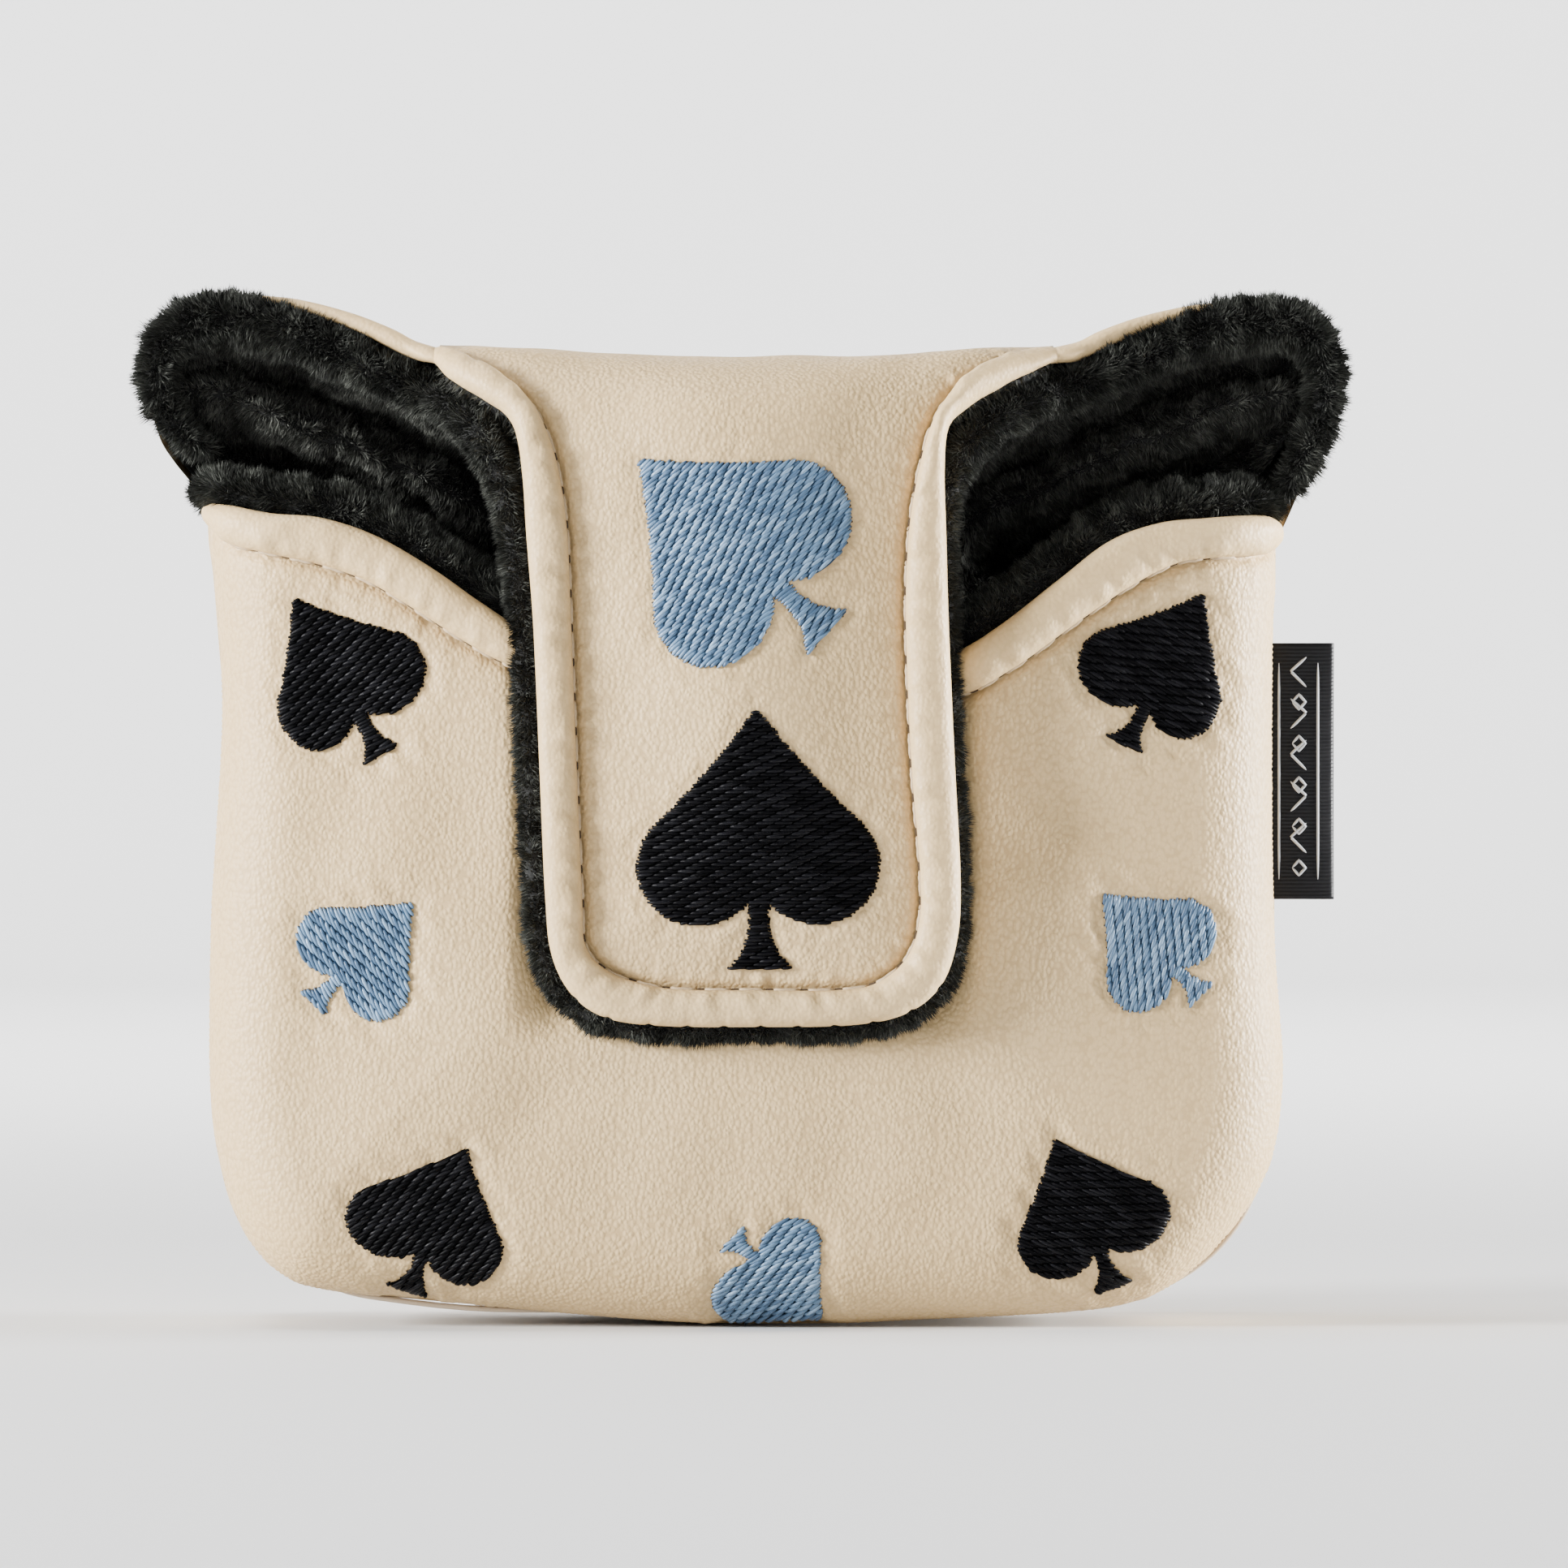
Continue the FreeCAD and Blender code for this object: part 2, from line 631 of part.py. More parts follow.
def build_seam_thread(label, seam_y):
    """The lockstitch thread of a seam, running in the seam allowance behind the leather."""
    depth = mm("leather") + SEAM_ROOM + mm("thread_r")
    corners = inset_corners(pouch_corners(), depth)
    corners = corners[4:] + corners[:4]
    corners[0] = (corners[0][0], mm("rim_z") - 10, 0)
    corners[-1] = (corners[-1][0], mm("rim_z") - 10, 0)
    path = upright_wire(corners, closed=False, depth_y=seam_y)
    section = Part.Wire(Part.makeCircle(mm("thread_r"), path.Vertexes[0].Point, V(0, 0, 1)))
    thread = document.addObject("Part::Feature", label + "_run")
    thread.Shape = path.makePipeShell([section], True, False)
    keep(thread, label)


def build_label():
    """A strip of woven cloth folded in half, its cut ends sewn into the right front seam."""
    body = document.addObject("PartDesign::Body", "label_body")
    sketch = body.newObject("Sketcher::SketchObject", "label_fold")
    plane = next(item for item in body.Origin.OriginFeatures if item.Role == "XY_Plane")
    sketch.AttachmentSupport = [(plane, "")]
    sketch.MapMode = "FlatFace"
    cloth = mm("label_cloth")
    inner = mm("label_fold_r")
    outer = inner + cloth
    reach = mm("label_tuck") + mm("label_long") - outer
    for radius in (inner, outer):
        sketch.addGeometry(Part.LineSegment(V(0, -radius, 0), V(reach, -radius, 0)), False)
        low, tip, high = V(reach, -radius, 0), V(reach + radius, 0, 0), V(reach, radius, 0)
        sketch.addGeometry(Part.Arc(low, tip, high), False)
        sketch.addGeometry(Part.LineSegment(V(reach, radius, 0), V(0, radius, 0)), False)
    for side in (-1, 1):
        sketch.addGeometry(Part.LineSegment(V(0, side * inner, 0), V(0, side * outer, 0)), False)
    strip = body.newObject("PartDesign::Pad", "label_strip")
    strip.Profile = sketch
    strip.setExpression("Length", "Sizes.label_high")
    body.Tip = strip
    body.setExpression("Placement.Base.x", "Sizes.pouch_width / 2 - Sizes.label_tuck")
    body.setExpression("Placement.Base.y", FRONT_SEAM)
    body.setExpression("Placement.Base.z", "Sizes.label_low_z")
    keep(body, "side_label")


# ---- embroidery ----------------------------------------------------------------------------------

# One half of a spade of height 1, its foot at the origin: each entry is an arc's middle and end.
SPADE_TIP = (0.0, 1.0)
SPADE_ARCS = [((0.21, 0.745), (0.408, 0.545)), ((0.452, 0.33), (0.275, 0.176)),
              ((0.115, 0.2), (0.040, 0.262))]
SPADE_STEM = [((0.052, 0.09), (0.118, 0.0))]

# name: tip x, tip z, foot x, foot z
FRONT_SPADES = {
    "spade_upper_left": (-54.2, 87.5, -43.8, 68.8),
    "spade_upper_right": (54.7, 88.0, 45.4, 69.9),
    "spade_middle_left": (-39.9, 51.1, -51.8, 39.1),
    "spade_middle_right": (42.6, 52.0, 54.4, 40.2),
    "spade_lower_left": (-33.6, 21.8, -40.6, 4.2),
    "spade_lower_right": (37.0, 23.0, 44.1, 4.8),
    "spade_bottom": (8.9, 0.9, -1.7, 11.1),
}
FLAP_SPADES = {
    "spade_flap_upper": (-12.7, 103.8, 9.7, 83.4),
    "spade_flap_lower": (1.2, 74.2, 1.6, 43.4),
}


def spade_edges(tip_x, tip_z, foot_x, foot_z):
    """The closed spade outline between its tip and its foot."""
    foot = V(foot_x, foot_z, 0)
    up = V(tip_x, tip_z, 0) - foot
    across = V(up.y, -up.x, 0)

    def place(point, side):
        return foot + across * (point[0] * side) + up * point[1]

    edges = []
    for side in (1, -1):
        here = SPADE_TIP
        for middle, end in SPADE_ARCS + SPADE_STEM:
            edges.append(Part.Arc(place(here, side), place(middle, side), place(end, side)))
            here = end
    edges.append(Part.LineSegment(place(here, 1), place(here, -1)))
    return edges


def spade_prism(name, ends):
    solid = document.addObject("Part::Extrusion", name + "_column")
    solid.Base = drawn(name, spade_edges(*ends))
    solid.Base.Placement.Base = V(0, -DEEP, 0)
    solid.DirMode = "Custom"
    solid.Dir = V(0, 1, 0)
    solid.Solid = True
    solid.LengthFwd = DEEP
    return solid


def build_embroidery():
    """Every spade is a patch of thread lying on the leather, shaped to it."""
    pile = mm("thread_pile")
    raised = prism("thread_block", inset_corners(pouch_corners(), -pile), f"{FRONT} - Sizes.thread_pile",
                   "Sizes.pouch_depth + 2 * Sizes.thread_pile")
    coat = minus("thread_coat", rounded("thread_form", raised, mm("edge_round") + pile), outer_form)
    for name, ends in FRONT_SPADES.items():
        keep(within(name + "_patch", coat, spade_prism(name, ends)), name)
    flap_coat = block("flap_thread_coat",
                      (f"-{DEEP}", f"{FLAP_FRONT} - Sizes.thread_pile", "Sizes.flap_tip_z"),
                      (f"{DEEP}", FLAP_FRONT, "Sizes.roof_z"))
    for name, ends in FLAP_SPADES.items():
        keep(within(name + "_patch", flap_coat, spade_prism(name, ends)), name)


# ---- build, check and write ----------------------------------------------------------------------

build_front()
build_gusset()
build_back()
for ear_side, ear_name in ((-1, "left_ear"), (1, "right_ear")):
    build_ear_lining(ear_side, ear_name)
    build_ear_rim(ear_side, ear_name)
build_flap()
build_topstitching()
build_seam_thread("front_seam_thread", mm("front_y") + mm("edge_round"))
build_seam_thread("back_seam_thread", back_y() - mm("edge_round"))
build_label()
keep(magnets("body_magnet_pair", BODY_MAGNET_Y, "Sizes.magnet_r", "Sizes.magnet_thick"), "body_magnets")
keep(magnets("flap_magnet_pair", FLAP_MAGNET_Y, "Sizes.magnet_r", "Sizes.magnet_thick"), "flap_magnets")
build_embroidery()
document.recompute()

for item in document.Objects:
    if "Invalid" in item.State or "Error" in item.State:
        raise RuntimeError(f"{item.Name} could not be built: {item.State}")
for item in parts:
    if item.Shape.isNull() or not item.Shape.isValid() or not item.Shape.Solids:
        raise RuntimeError(f"{item.Label} has no valid shape")

os.makedirs("parts", exist_ok=True)
for item in parts:
    item.Shape.exportStep(f"parts/{item.Label}.step")
    print(f"{item.Label:20s} {len(item.Shape.Solids):3d} solids {item.Shape.Volume:10.1f} mm3")
turning = hinge_line()
print(f"hinge line at y {turning.x:.3f} z {turning.y:.3f}")
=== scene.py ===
"""The looks of a putter head cover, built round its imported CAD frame.

A padded leather pouch with a plush lining stands on its base. Its roof and front flap are one leather
piece that folds at the top of the back. Lengths in this script are millimetres until a mesh is made.
X runs to the right, Y to the back and Z up, seen from the front.
"""
import math

import bpy
import numpy as np
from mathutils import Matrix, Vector
from mathutils.geometry import delaunay_2d_cdt


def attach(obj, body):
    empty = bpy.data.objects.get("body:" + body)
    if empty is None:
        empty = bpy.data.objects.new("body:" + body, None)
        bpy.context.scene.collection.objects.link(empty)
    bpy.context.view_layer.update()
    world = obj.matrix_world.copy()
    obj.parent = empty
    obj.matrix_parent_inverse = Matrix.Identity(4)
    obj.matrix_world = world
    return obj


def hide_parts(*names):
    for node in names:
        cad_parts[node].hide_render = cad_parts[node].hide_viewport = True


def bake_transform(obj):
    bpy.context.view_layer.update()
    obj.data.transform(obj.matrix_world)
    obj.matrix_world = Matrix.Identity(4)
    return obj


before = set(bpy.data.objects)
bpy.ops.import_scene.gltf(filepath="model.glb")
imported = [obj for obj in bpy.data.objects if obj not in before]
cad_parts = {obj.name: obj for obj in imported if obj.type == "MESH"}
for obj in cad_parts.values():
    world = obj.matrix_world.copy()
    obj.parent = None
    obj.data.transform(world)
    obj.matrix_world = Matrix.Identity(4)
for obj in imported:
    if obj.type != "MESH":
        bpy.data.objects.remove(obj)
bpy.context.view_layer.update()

MM = 0.001
PI = math.pi

# ---- sizes ---------------------------------------------------------------------------------------

LEATHER = 1.2
FRONT_SEAM_Y = -6.9
FRONT_Y = -16.9
FRONT_ROUND = 10.0
BACK_Y = 25.1
BACK_ROUND = 12.0
BACK_SEAM_Y = BACK_Y - BACK_ROUND
ROOF_Z = 116.6
FOLD_ROUND = 12.0
FLAP_Y = -24.7
FLAP_TIP_Z = 36.6
ROOF_HALF = 37.0
BODY_TOP_Z = 100.0
STITCH_PITCH = 4.1
STITCH_LONG = 3.3

# Edge of the pouch seen from the front, from the left ear down, along the base and up to the right.
POUCH_EDGE = [
    (-65.4, 102.0), (-65.1, 95.0), (-64.5, 91.0), (-63.8, 83.5), (-63.4, 75.5), (-63.6, 68.0), (-64.1, 60.0),
    (-64.7, 50.0), (-64.9, 40.0), (-64.9, 31.0), (-64.5, 25.0), (-63.7, 20.0), (-62.0, 14.0), (-59.0, 8.8),
    (-54.8, 5.4), (-49.5, 4.1), (-42.7, 3.4), (-33.0, 2.5), (-23.3, 1.6), (-13.6, 0.8), (-5.0, 0.3),
    (5.0, 0.2), (12.0, 0.3), (20.4, 0.7), (30.1, 1.1), (39.8, 1.7), (45.5, 2.5), (50.5, 4.4), (55.5, 8.2),
    (60.1, 13.6), (62.6, 18.0), (63.9, 22.0), (64.6, 27.0), (64.8, 32.0), (64.4, 38.0), (63.9, 45.0),
    (63.6, 55.0), (63.5, 67.0), (63.6, 83.5), (63.9, 89.0), (64.1, 95.0), (64.6, 102.0),
]

# Rolled edge of the front opening, left to right: crease x, z and outer edge x, z.
FRONT_ROLL = [
    (-65.0, 97.9, -65.1, 99.4), (-63.6, 95.7, -64.2, 99.2), (-61.5, 94.0, -62.0, 98.8), (-56.4, 92.8, -57.0, 97.8),
    (-51.0, 91.6, -50.7, 97.2), (-45.3, 89.6, -44.2, 95.0), (-39.4, 86.1, -37.6, 91.2),
    (-33.5, 82.3, -31.6, 87.0), (-28.4, 79.6, -26.4, 83.9), (-20.0, 76.6, -18.6, 81.2),
    (-10.0, 75.3, -9.4, 79.9), (0.0, 75.0, 0.0, 79.6), (10.0, 75.2, 9.4, 79.7), (19.0, 75.6, 17.6, 80.2),
    (26.1, 76.2, 23.9, 80.8), (32.5, 79.6, 29.9, 84.1), (40.0, 85.0, 37.3, 89.8), (46.1, 89.1, 43.4, 94.4),
    (51.3, 91.7, 49.4, 96.6), (55.3, 92.4, 55.0, 97.2), (60.5, 92.7, 60.5, 97.6), (63.0, 93.2, 63.0, 97.6), (64.2, 94.6, 64.2, 97.3),
]

# Rolled edge of the flap from the left end of the roof, round the tip, to the right: crease x and
# length up the leather from the tip, then the same for the outer edge.
FLAP_ROLL = [
    (-37.2, 88.0, -37.4, 82.6), (-34.0, 82.6, -35.6, 79.0), (-30.0, 79.0, -31.6, 75.6),
    (-26.6, 75.8, -28.9, 73.4), (-24.2, 72.0, -27.4, 70.6), (-22.4, 66.5, -26.6, 65.5),
    (-21.3, 59.0, -26.1, 58.0), (-20.8, 48.0, -25.3, 47.5), (-20.2, 32.0, -24.6, 31.5),
    (-19.5, 15.5, -23.9, 15.5), (-19.1, 9.6, -23.1, 8.4), (-16.6, 6.7, -20.6, 3.6), (-12.8, 5.2, -16.4, 0.9),
    (-8.0, 4.4, -9.5, 0.0), (1.0, 4.3, 1.0, -0.1), (10.6, 4.3, 12.2, 0.1), (15.4, 5.1, 18.8, 1.4),
    (18.9, 7.9, 23.0, 4.6), (20.5, 12.0, 25.0, 9.8), (20.7, 18.0, 25.5, 17.0), (19.6, 32.0, 24.8, 31.5),
    (19.0, 48.0, 24.1, 47.5), (19.3, 58.0, 23.8, 58.0), (20.3, 65.0, 23.6, 66.5), (22.0, 71.5, 24.2, 71.6),
    (24.6, 76.2, 26.8, 74.6), (28.6, 80.6, 30.6, 77.6), (32.6, 84.5, 34.6, 80.8), (36.9, 88.6, 37.2, 83.2),
]


# ---- numbers and lines ---------------------------------------------------------------------------

def ease(share):
    share = np.clip(share, 0, 1)
    return share * share * (3 - 2 * share)


def bump_at(distance, width):
    return np.exp(-(distance / width) ** 2)


def unit(vectors):
    return vectors / np.maximum(np.linalg.norm(vectors, axis=-1, keepdims=True), 1e-9)


def ripple(points, size, seed, octaves=2):
    """Smooth seeded noise of about -1 to 1, with waves of a size."""
    rng = np.random.default_rng(seed)
    total = np.zeros(points.shape[:-1])
    for octave in range(octaves):
        for _ in range(7):
            way = rng.normal(size=points.shape[-1])
            way *= 2 ** octave * rng.uniform(0.7, 1.3) * 2 * PI / size / np.linalg.norm(way)
            total += 0.5 ** octave * np.sin(points @ way + rng.uniform(0, 2 * PI)) / 3.5
    return total


def divide(line, step=None, count=None):
    """The same line with its points evenly spaced."""
    lengths = np.concatenate([[0], np.cumsum(np.linalg.norm(np.diff(line, axis=0), axis=1))])
    count = count or max(2, int(lengths[-1] / step) + 1)
    at = np.linspace(0, lengths[-1], count)
    return np.stack([np.interp(at, lengths, column) for column in line.T], axis=1)


def through(points, step=None, count=None):
    """A smooth line through points."""
    p = np.array(points, float)
    p = np.vstack([2 * p[0] - p[1], p, 2 * p[-1] - p[-2]])
    t = np.linspace(0, 1, 16, endpoint=False)[:, None]
    spans = []
    for a, b, c, d in zip(p, p[1:], p[2:], p[3:]):
        spans.append(0.5 * (2 * b + (c - a) * t + (2 * a - 5 * b + 4 * c - d) * t ** 2
                            + (3 * b - a - 3 * c + d) * t ** 3))
    return divide(np.vstack(spans + [p[-2:-1]]), step, count)


def lengths_along(line):
    return np.concatenate([[0], np.cumsum(np.linalg.norm(np.diff(line, axis=0), axis=1))])


def distance_to(line, points):
    """Distance from each point to a line made of short straight runs."""
    shape = points.shape[:-1]
    flat = points.reshape(-1, 2)
    nearest = np.empty(len(flat), int)
    for start in range(0, len(flat), 4000):
        part = flat[start:start + 4000]
        gaps = (part[:, None, 0] - line[None, :, 0]) ** 2 + (part[:, None, 1] - line[None, :, 1]) ** 2
        nearest[start:start + 4000] = gaps.argmin(1)
    best = np.full(len(flat), np.inf)
    for side in (-1, 0):
        first = np.clip(nearest + side, 0, len(line) - 2)
        run = line[first + 1] - line[first]
        share = np.clip(((flat - line[first]) * run).sum(1) / (run * run).sum(1), 0, 1)
        best = np.minimum(best, np.linalg.norm(flat - line[first] - run * share[:, None], axis=1))
    return best.reshape(shape), nearest.reshape(shape)


def inside(polygon, points):
    """Which points lie inside a closed polygon."""
    result = np.zeros(len(points), bool)
    for a, b in zip(polygon, np.roll(polygon, -1, axis=0)):
        if a[1] == b[1]:
            continue
        crosses = (a[1] > points[:, 1]) != (b[1] > points[:, 1])
        at = (b[0] - a[0]) * (points[:, 1] - a[1]) / (b[1] - a[1]) + a[0]
        result ^= crosses & (points[:, 0] < at)
    return result


# ---- meshes --------------------------------------------------------------------------------------

def grid_faces(rows, columns, wrap=False):
    index = np.arange(rows * columns).reshape(rows, columns)
    if wrap:
        index = np.concatenate([index, index[:, :1]], axis=1)
    a, b, c, d = index[:-1, :-1], index[:-1, 1:], index[1:, 1:], index[1:, :-1]
    return np.stack([a, b, c, d], axis=-1).reshape(-1, 4)


def triangles(quads):
    return np.vstack([quads[:, [0, 1, 2]], quads[:, [0, 2, 3]]])


def merged(parts):
    """Joins (points, faces, slot) parts with faces of one size."""
    points, faces, slots, start = [], [], [], 0
    for part_points, part_faces, slot in parts:
        points.append(part_points.reshape(-1, 3))
        faces.append(part_faces + start)
        slots.append(np.broadcast_to(slot, len(part_faces)))
        start += len(points[-1])
    return np.vstack(points), np.vstack(faces), np.concatenate(slots)


def make(name, points, faces, materials, slots=None):
    """A smooth-shaded object from points in millimetres and faces of one size."""
    mesh = bpy.data.meshes.new(name)
    count, size = faces.shape
    points = points.reshape(-1, 3)
    mesh.vertices.add(len(points))
    mesh.vertices.foreach_set("co", (points * MM).astype(np.float32).ravel())
    mesh.loops.add(faces.size)
    mesh.loops.foreach_set("vertex_index", faces.astype(np.int32).ravel())
    mesh.polygons.add(count)
    mesh.polygons.foreach_set("loop_start", np.arange(0, faces.size, size, dtype=np.int32))
    if slots is not None:
        mesh.polygons.foreach_set("material_index", slots.astype(np.int32))
    for material in materials:
        mesh.materials.append(material)
    mesh.update(calc_edges=True)
    mesh.validate()
    mesh.polygons.foreach_set("use_smooth", np.ones(len(mesh.polygons), bool))
    piece = bpy.data.objects.new(name, mesh)
    bpy.context.scene.collection.objects.link(piece)
    return piece


def thicken(piece, thickness):
    """Gives a sheet its thickness, inwards from its outer face."""
    layer = piece.modifiers.new("thickness", "SOLIDIFY")
    layer.thickness = thickness * MM
    layer.offset = -1
    layer.use_even_offset = False


def filled(border, inner, clearance):
    """Triangles inside a closed border, through the inner points that lie well inside it."""
    closed = np.vstack([border, border[:1]])
    inner = inner[inside(border, inner)]
    inner = inner[distance_to(closed, inner)[0] > clearance]
    corners = [Vector(point) for point in np.vstack([border, inner])]
    points, _, faces, *_ = delaunay_2d_cdt(corners, [], [list(range(len(border)))], 1, 1e-5)
    return np.array([tuple(point) for point in points]), np.array(faces)


def honeycomb(low, high, step):
    """Evenly spread points over a rectangle."""
    rise = step * 0.866
    rows = np.arange(low[1], high[1], rise)
    columns = np.arange(low[0], high[0], step)
    x, z = np.meshgrid(columns, rows)
    x = x + (np.arange(len(rows)) % 2)[:, None] * step / 2
    return np.stack([x.ravel(), z.ravel()], axis=1)


def rings_inside(line, offsets, step):
    """Lines of points beside an open line, on its left, at growing offsets."""
    found = []
    for offset in offsets:
        way = unit(np.gradient(line, axis=0))
        beside = line + offset * np.stack([-way[:, 1], way[:, 0]], axis=1)
        found.append(divide(beside, step))
    return np.vstack(found)


def normals_of(grid, wrap=False):
    """Normals of a grid of points."""
    if wrap:
        padded = np.concatenate([grid[:, -1:], grid, grid[:, :1]], axis=1)
        across = (padded[:, 2:] - padded[:, :-2])
    else:
        across = np.gradient(grid, axis=1)
    return unit(np.cross(across, np.gradient(grid, axis=0)))


def scattered(grid, normals, density, rng, wrap=False):
    """Random places on a grid surface, at so many to the square millimetre."""
    rows, columns = grid.shape[:2]
    index = grid_faces(rows, columns, wrap)
    corners = grid.reshape(-1, 3)[index]
    area = np.linalg.norm(np.cross(corners[:, 2] - corners[:, 0], corners[:, 3] - corners[:, 1]), axis=1) / 2
    count = int(area.sum() * density)
    cells = rng.choice(len(index), count, p=area / area.sum())
    u, v = rng.random((2, count, 1))
    weights = ((1 - u) * (1 - v), u * (1 - v), u * v, (1 - u) * v)
    places = sum(w * corners[cells, k] for k, w in enumerate(weights))
    ways = sum(w * normals.reshape(-1, 3)[index[cells, k]] for k, w in enumerate(weights))
    return places, unit(ways)


def tufts(places, ways, length, width, lean, spread, rng):
    """Fine pointed fibres of pile standing on a surface, leaning together in small locks."""
    count = len(places)
    locks = np.stack([ripple(places, 2.6, 40 + axis) for axis in range(3)], axis=1)
    sweeps = np.stack([ripple(places, 9.0, 45 + axis) for axis in range(3)], axis=1)
    way = unit(ways + np.asarray(lean) + 0.38 * locks + 0.3 * sweeps + rng.normal(0, spread, (count, 3)))
    side = unit(np.cross(way, rng.normal(size=(count, 3)))) * width / 2
    long = (length * rng.uniform(0.6, 1.15, count) * (1 + 0.22 * ripple(places, 3.4, 50)))[:, None]
    foot = places - 0.35 * unit(ways)
    points = np.stack([foot - side, foot + side, foot + way * long], axis=1)
    # Painted sheen and random tone: lighter tufts, in patches and at random, stand in for sheen on the black pile.
    sheen_and_tone = 0.5 + 0.5 * ripple(places, 4.2, 52) + rng.normal(0, 0.45, count)
    shade = np.where(sheen_and_tone > 1.05, 3, np.where(sheen_and_tone > 0.35, 2, 1))
    return points.reshape(-1, 3), np.arange(3 * count).reshape(-1, 3), shade


def furry(name, surfaces, density, length, width, materials, seed, lean=(0, 0, 0), spread=0.35, reverse=()):
    """A plush piece: dark cloth surfaces with pile standing on them. Each surface is (grid, wrap)."""
    rng = np.random.default_rng(seed)
    parts = []
    for number, (grid, wrap) in enumerate(surfaces):
        normals = normals_of(grid, wrap)
        if number in reverse:
            normals = -normals
        quads = grid_faces(*grid.shape[:2], wrap)
        parts.append((grid, triangles(quads if number not in reverse else quads[:, ::-1]), 0))
        places, ways = scattered(grid, normals, density, rng, wrap)
        if wrap:
            seen = (ways[:, 1] < 0.35) | (rng.random(len(ways)) < 0.3)
            places, ways = places[seen], ways[seen]
        parts.append(tufts(places, ways, length, width, lean, spread, rng))
    points, faces, slots = merged(parts)
    return make(name, points, faces, materials, slots)


# ---- materials -----------------------------------------------------------------------------------

def new_material(name):
    material = bpy.data.materials.new(name)
    material.use_nodes = True
    tree = material.node_tree
    shader = tree.nodes["Principled BSDF"]
    return material, tree, shader


def node(tree, kind, inputs=None, **settings):
    made = tree.nodes.new(kind)
    for key, value in settings.items():
        setattr(made, key, value)
    for key, value in (inputs or {}).items():
        if isinstance(value, bpy.types.NodeSocket):
            tree.links.new(value, made.inputs[key])
        else:
            made.inputs[key].default_value = value
    return made


def noise(tree, place, scale, detail=3.0, rough=0.5):
    return node(tree, "ShaderNodeTexNoise", {"Vector": place, "Scale": scale, "Detail": detail,
                                             "Roughness": rough}).outputs["Fac"]


def mapped(tree, value, low, high, to_low=0.0, to_high=1.0):
    return node(tree, "ShaderNodeMapRange", {"Value": value, "From Min": low, "From Max": high,
                                             "To Min": to_low, "To Max": to_high}).outputs["Result"]


def mixed(tree, share, first, second, blend="MIX"):
    made = node(tree, "ShaderNodeMix", data_type="RGBA", blend_type=blend)
    for key, value in ((0, share), (6, first), (7, second)):
        if isinstance(value, bpy.types.NodeSocket):
            tree.links.new(value, made.inputs[key])
        elif key == 0:
            made.inputs[key].default_value = value
        else:
            made.inputs[key].default_value = (*value, 1)
    return made.outputs[2]


def leather_material(name, colour=(0.600, 0.430, 0.215), grain=1900.0, strength=1.0):
    """Pebbled synthetic leather: fine grain, soft creases, and painted shade, darker and warmer, in the hollows of the
    grain.
    """
    material, tree, shader = new_material(name)
    place = node(tree, "ShaderNodeTexCoord").outputs["Object"]
    stretch = node(tree, "ShaderNodeVectorMath", {0: place, 1: (1.0, 1.0, 0.82)}, operation="MULTIPLY").outputs[0]
    bent = node(tree, "ShaderNodeTexNoise", {"Vector": place, "Scale": 320.0, "Detail": 2.0}).outputs["Color"]
    shift = node(tree, "ShaderNodeVectorMath", {0: bent, 1: (0.0005, 0.0005, 0.0005)}, operation="MULTIPLY")
    place_bent = node(tree, "ShaderNodeVectorMath", {0: stretch, 1: shift.outputs[0]}, operation="ADD").outputs[0]
    pebbles = node(tree, "ShaderNodeTexVoronoi", {"Vector": place_bent, "Scale": grain, "Smoothness": 0.35},
                   feature="SMOOTH_F1").outputs["Distance"]
    pebble = mapped(tree, pebbles, 0.05, 0.75, 1.0, 0.0)
    creases = mapped(tree, noise(tree, place, 900.0, 3.0, 0.6), 0.35, 0.7)
    broad = noise(tree, place, 35.0, 3.0)
    tone = mixed(tree, mapped(tree, broad, 0.35, 0.68, 0.0, 0.55), colour,
                 tuple(c * k for c, k in zip(colour, (0.93, 0.90, 0.86))))
    # Painted shade: the grain's hollows are darkened and warmed towards this colour.
    dark = tuple(c * k for c, k in zip(colour, (0.66, 0.60, 0.53)))
    hollow_shade = mapped(tree, pebble, 0.0, 0.45, 0.42 * strength, 0.0)
    tree.links.new(mixed(tree, hollow_shade, tone, dark), shader.inputs["Base Color"])
    tree.links.new(mapped(tree, pebble, 0.0, 1.0, 0.62, 0.44), shader.inputs["Roughness"])
    shader.inputs["Specular IOR Level"].default_value = 0.42
    fine = node(tree, "ShaderNodeBump", {"Height": pebble, "Strength": 0.75 * strength, "Distance": 0.00013})
    soft = node(tree, "ShaderNodeBump", {"Height": creases, "Strength": 0.16 * strength, "Distance": 0.00010,
                                         "Normal": fine.outputs[0]})
    tree.links.new(soft.outputs[0], shader.inputs["Normal"])
    return material


def plush_material(name, colour, rough=0.7, sheen=0.02):
    """One shade of pile fibre."""
    material, tree, shader = new_material(name)
    shader.inputs["Base Color"].default_value = (*colour, 1)
    shader.inputs["Roughness"].default_value = rough
    shader.inputs["Sheen Weight"].default_value = sheen
    shader.inputs["Sheen Roughness"].default_value = 0.4
    shader.inputs["Specular IOR Level"].default_value = 0.14
    place = node(tree, "ShaderNodeTexCoord").outputs["Object"]
    frizz = noise(tree, place, 3800.0, 2.0, 0.6)
    tree.links.new(node(tree, "ShaderNodeBump", {"Height": frizz, "Strength": 0.6, "Distance": 0.0001}).outputs[0],
                   shader.inputs["Normal"])
    return material


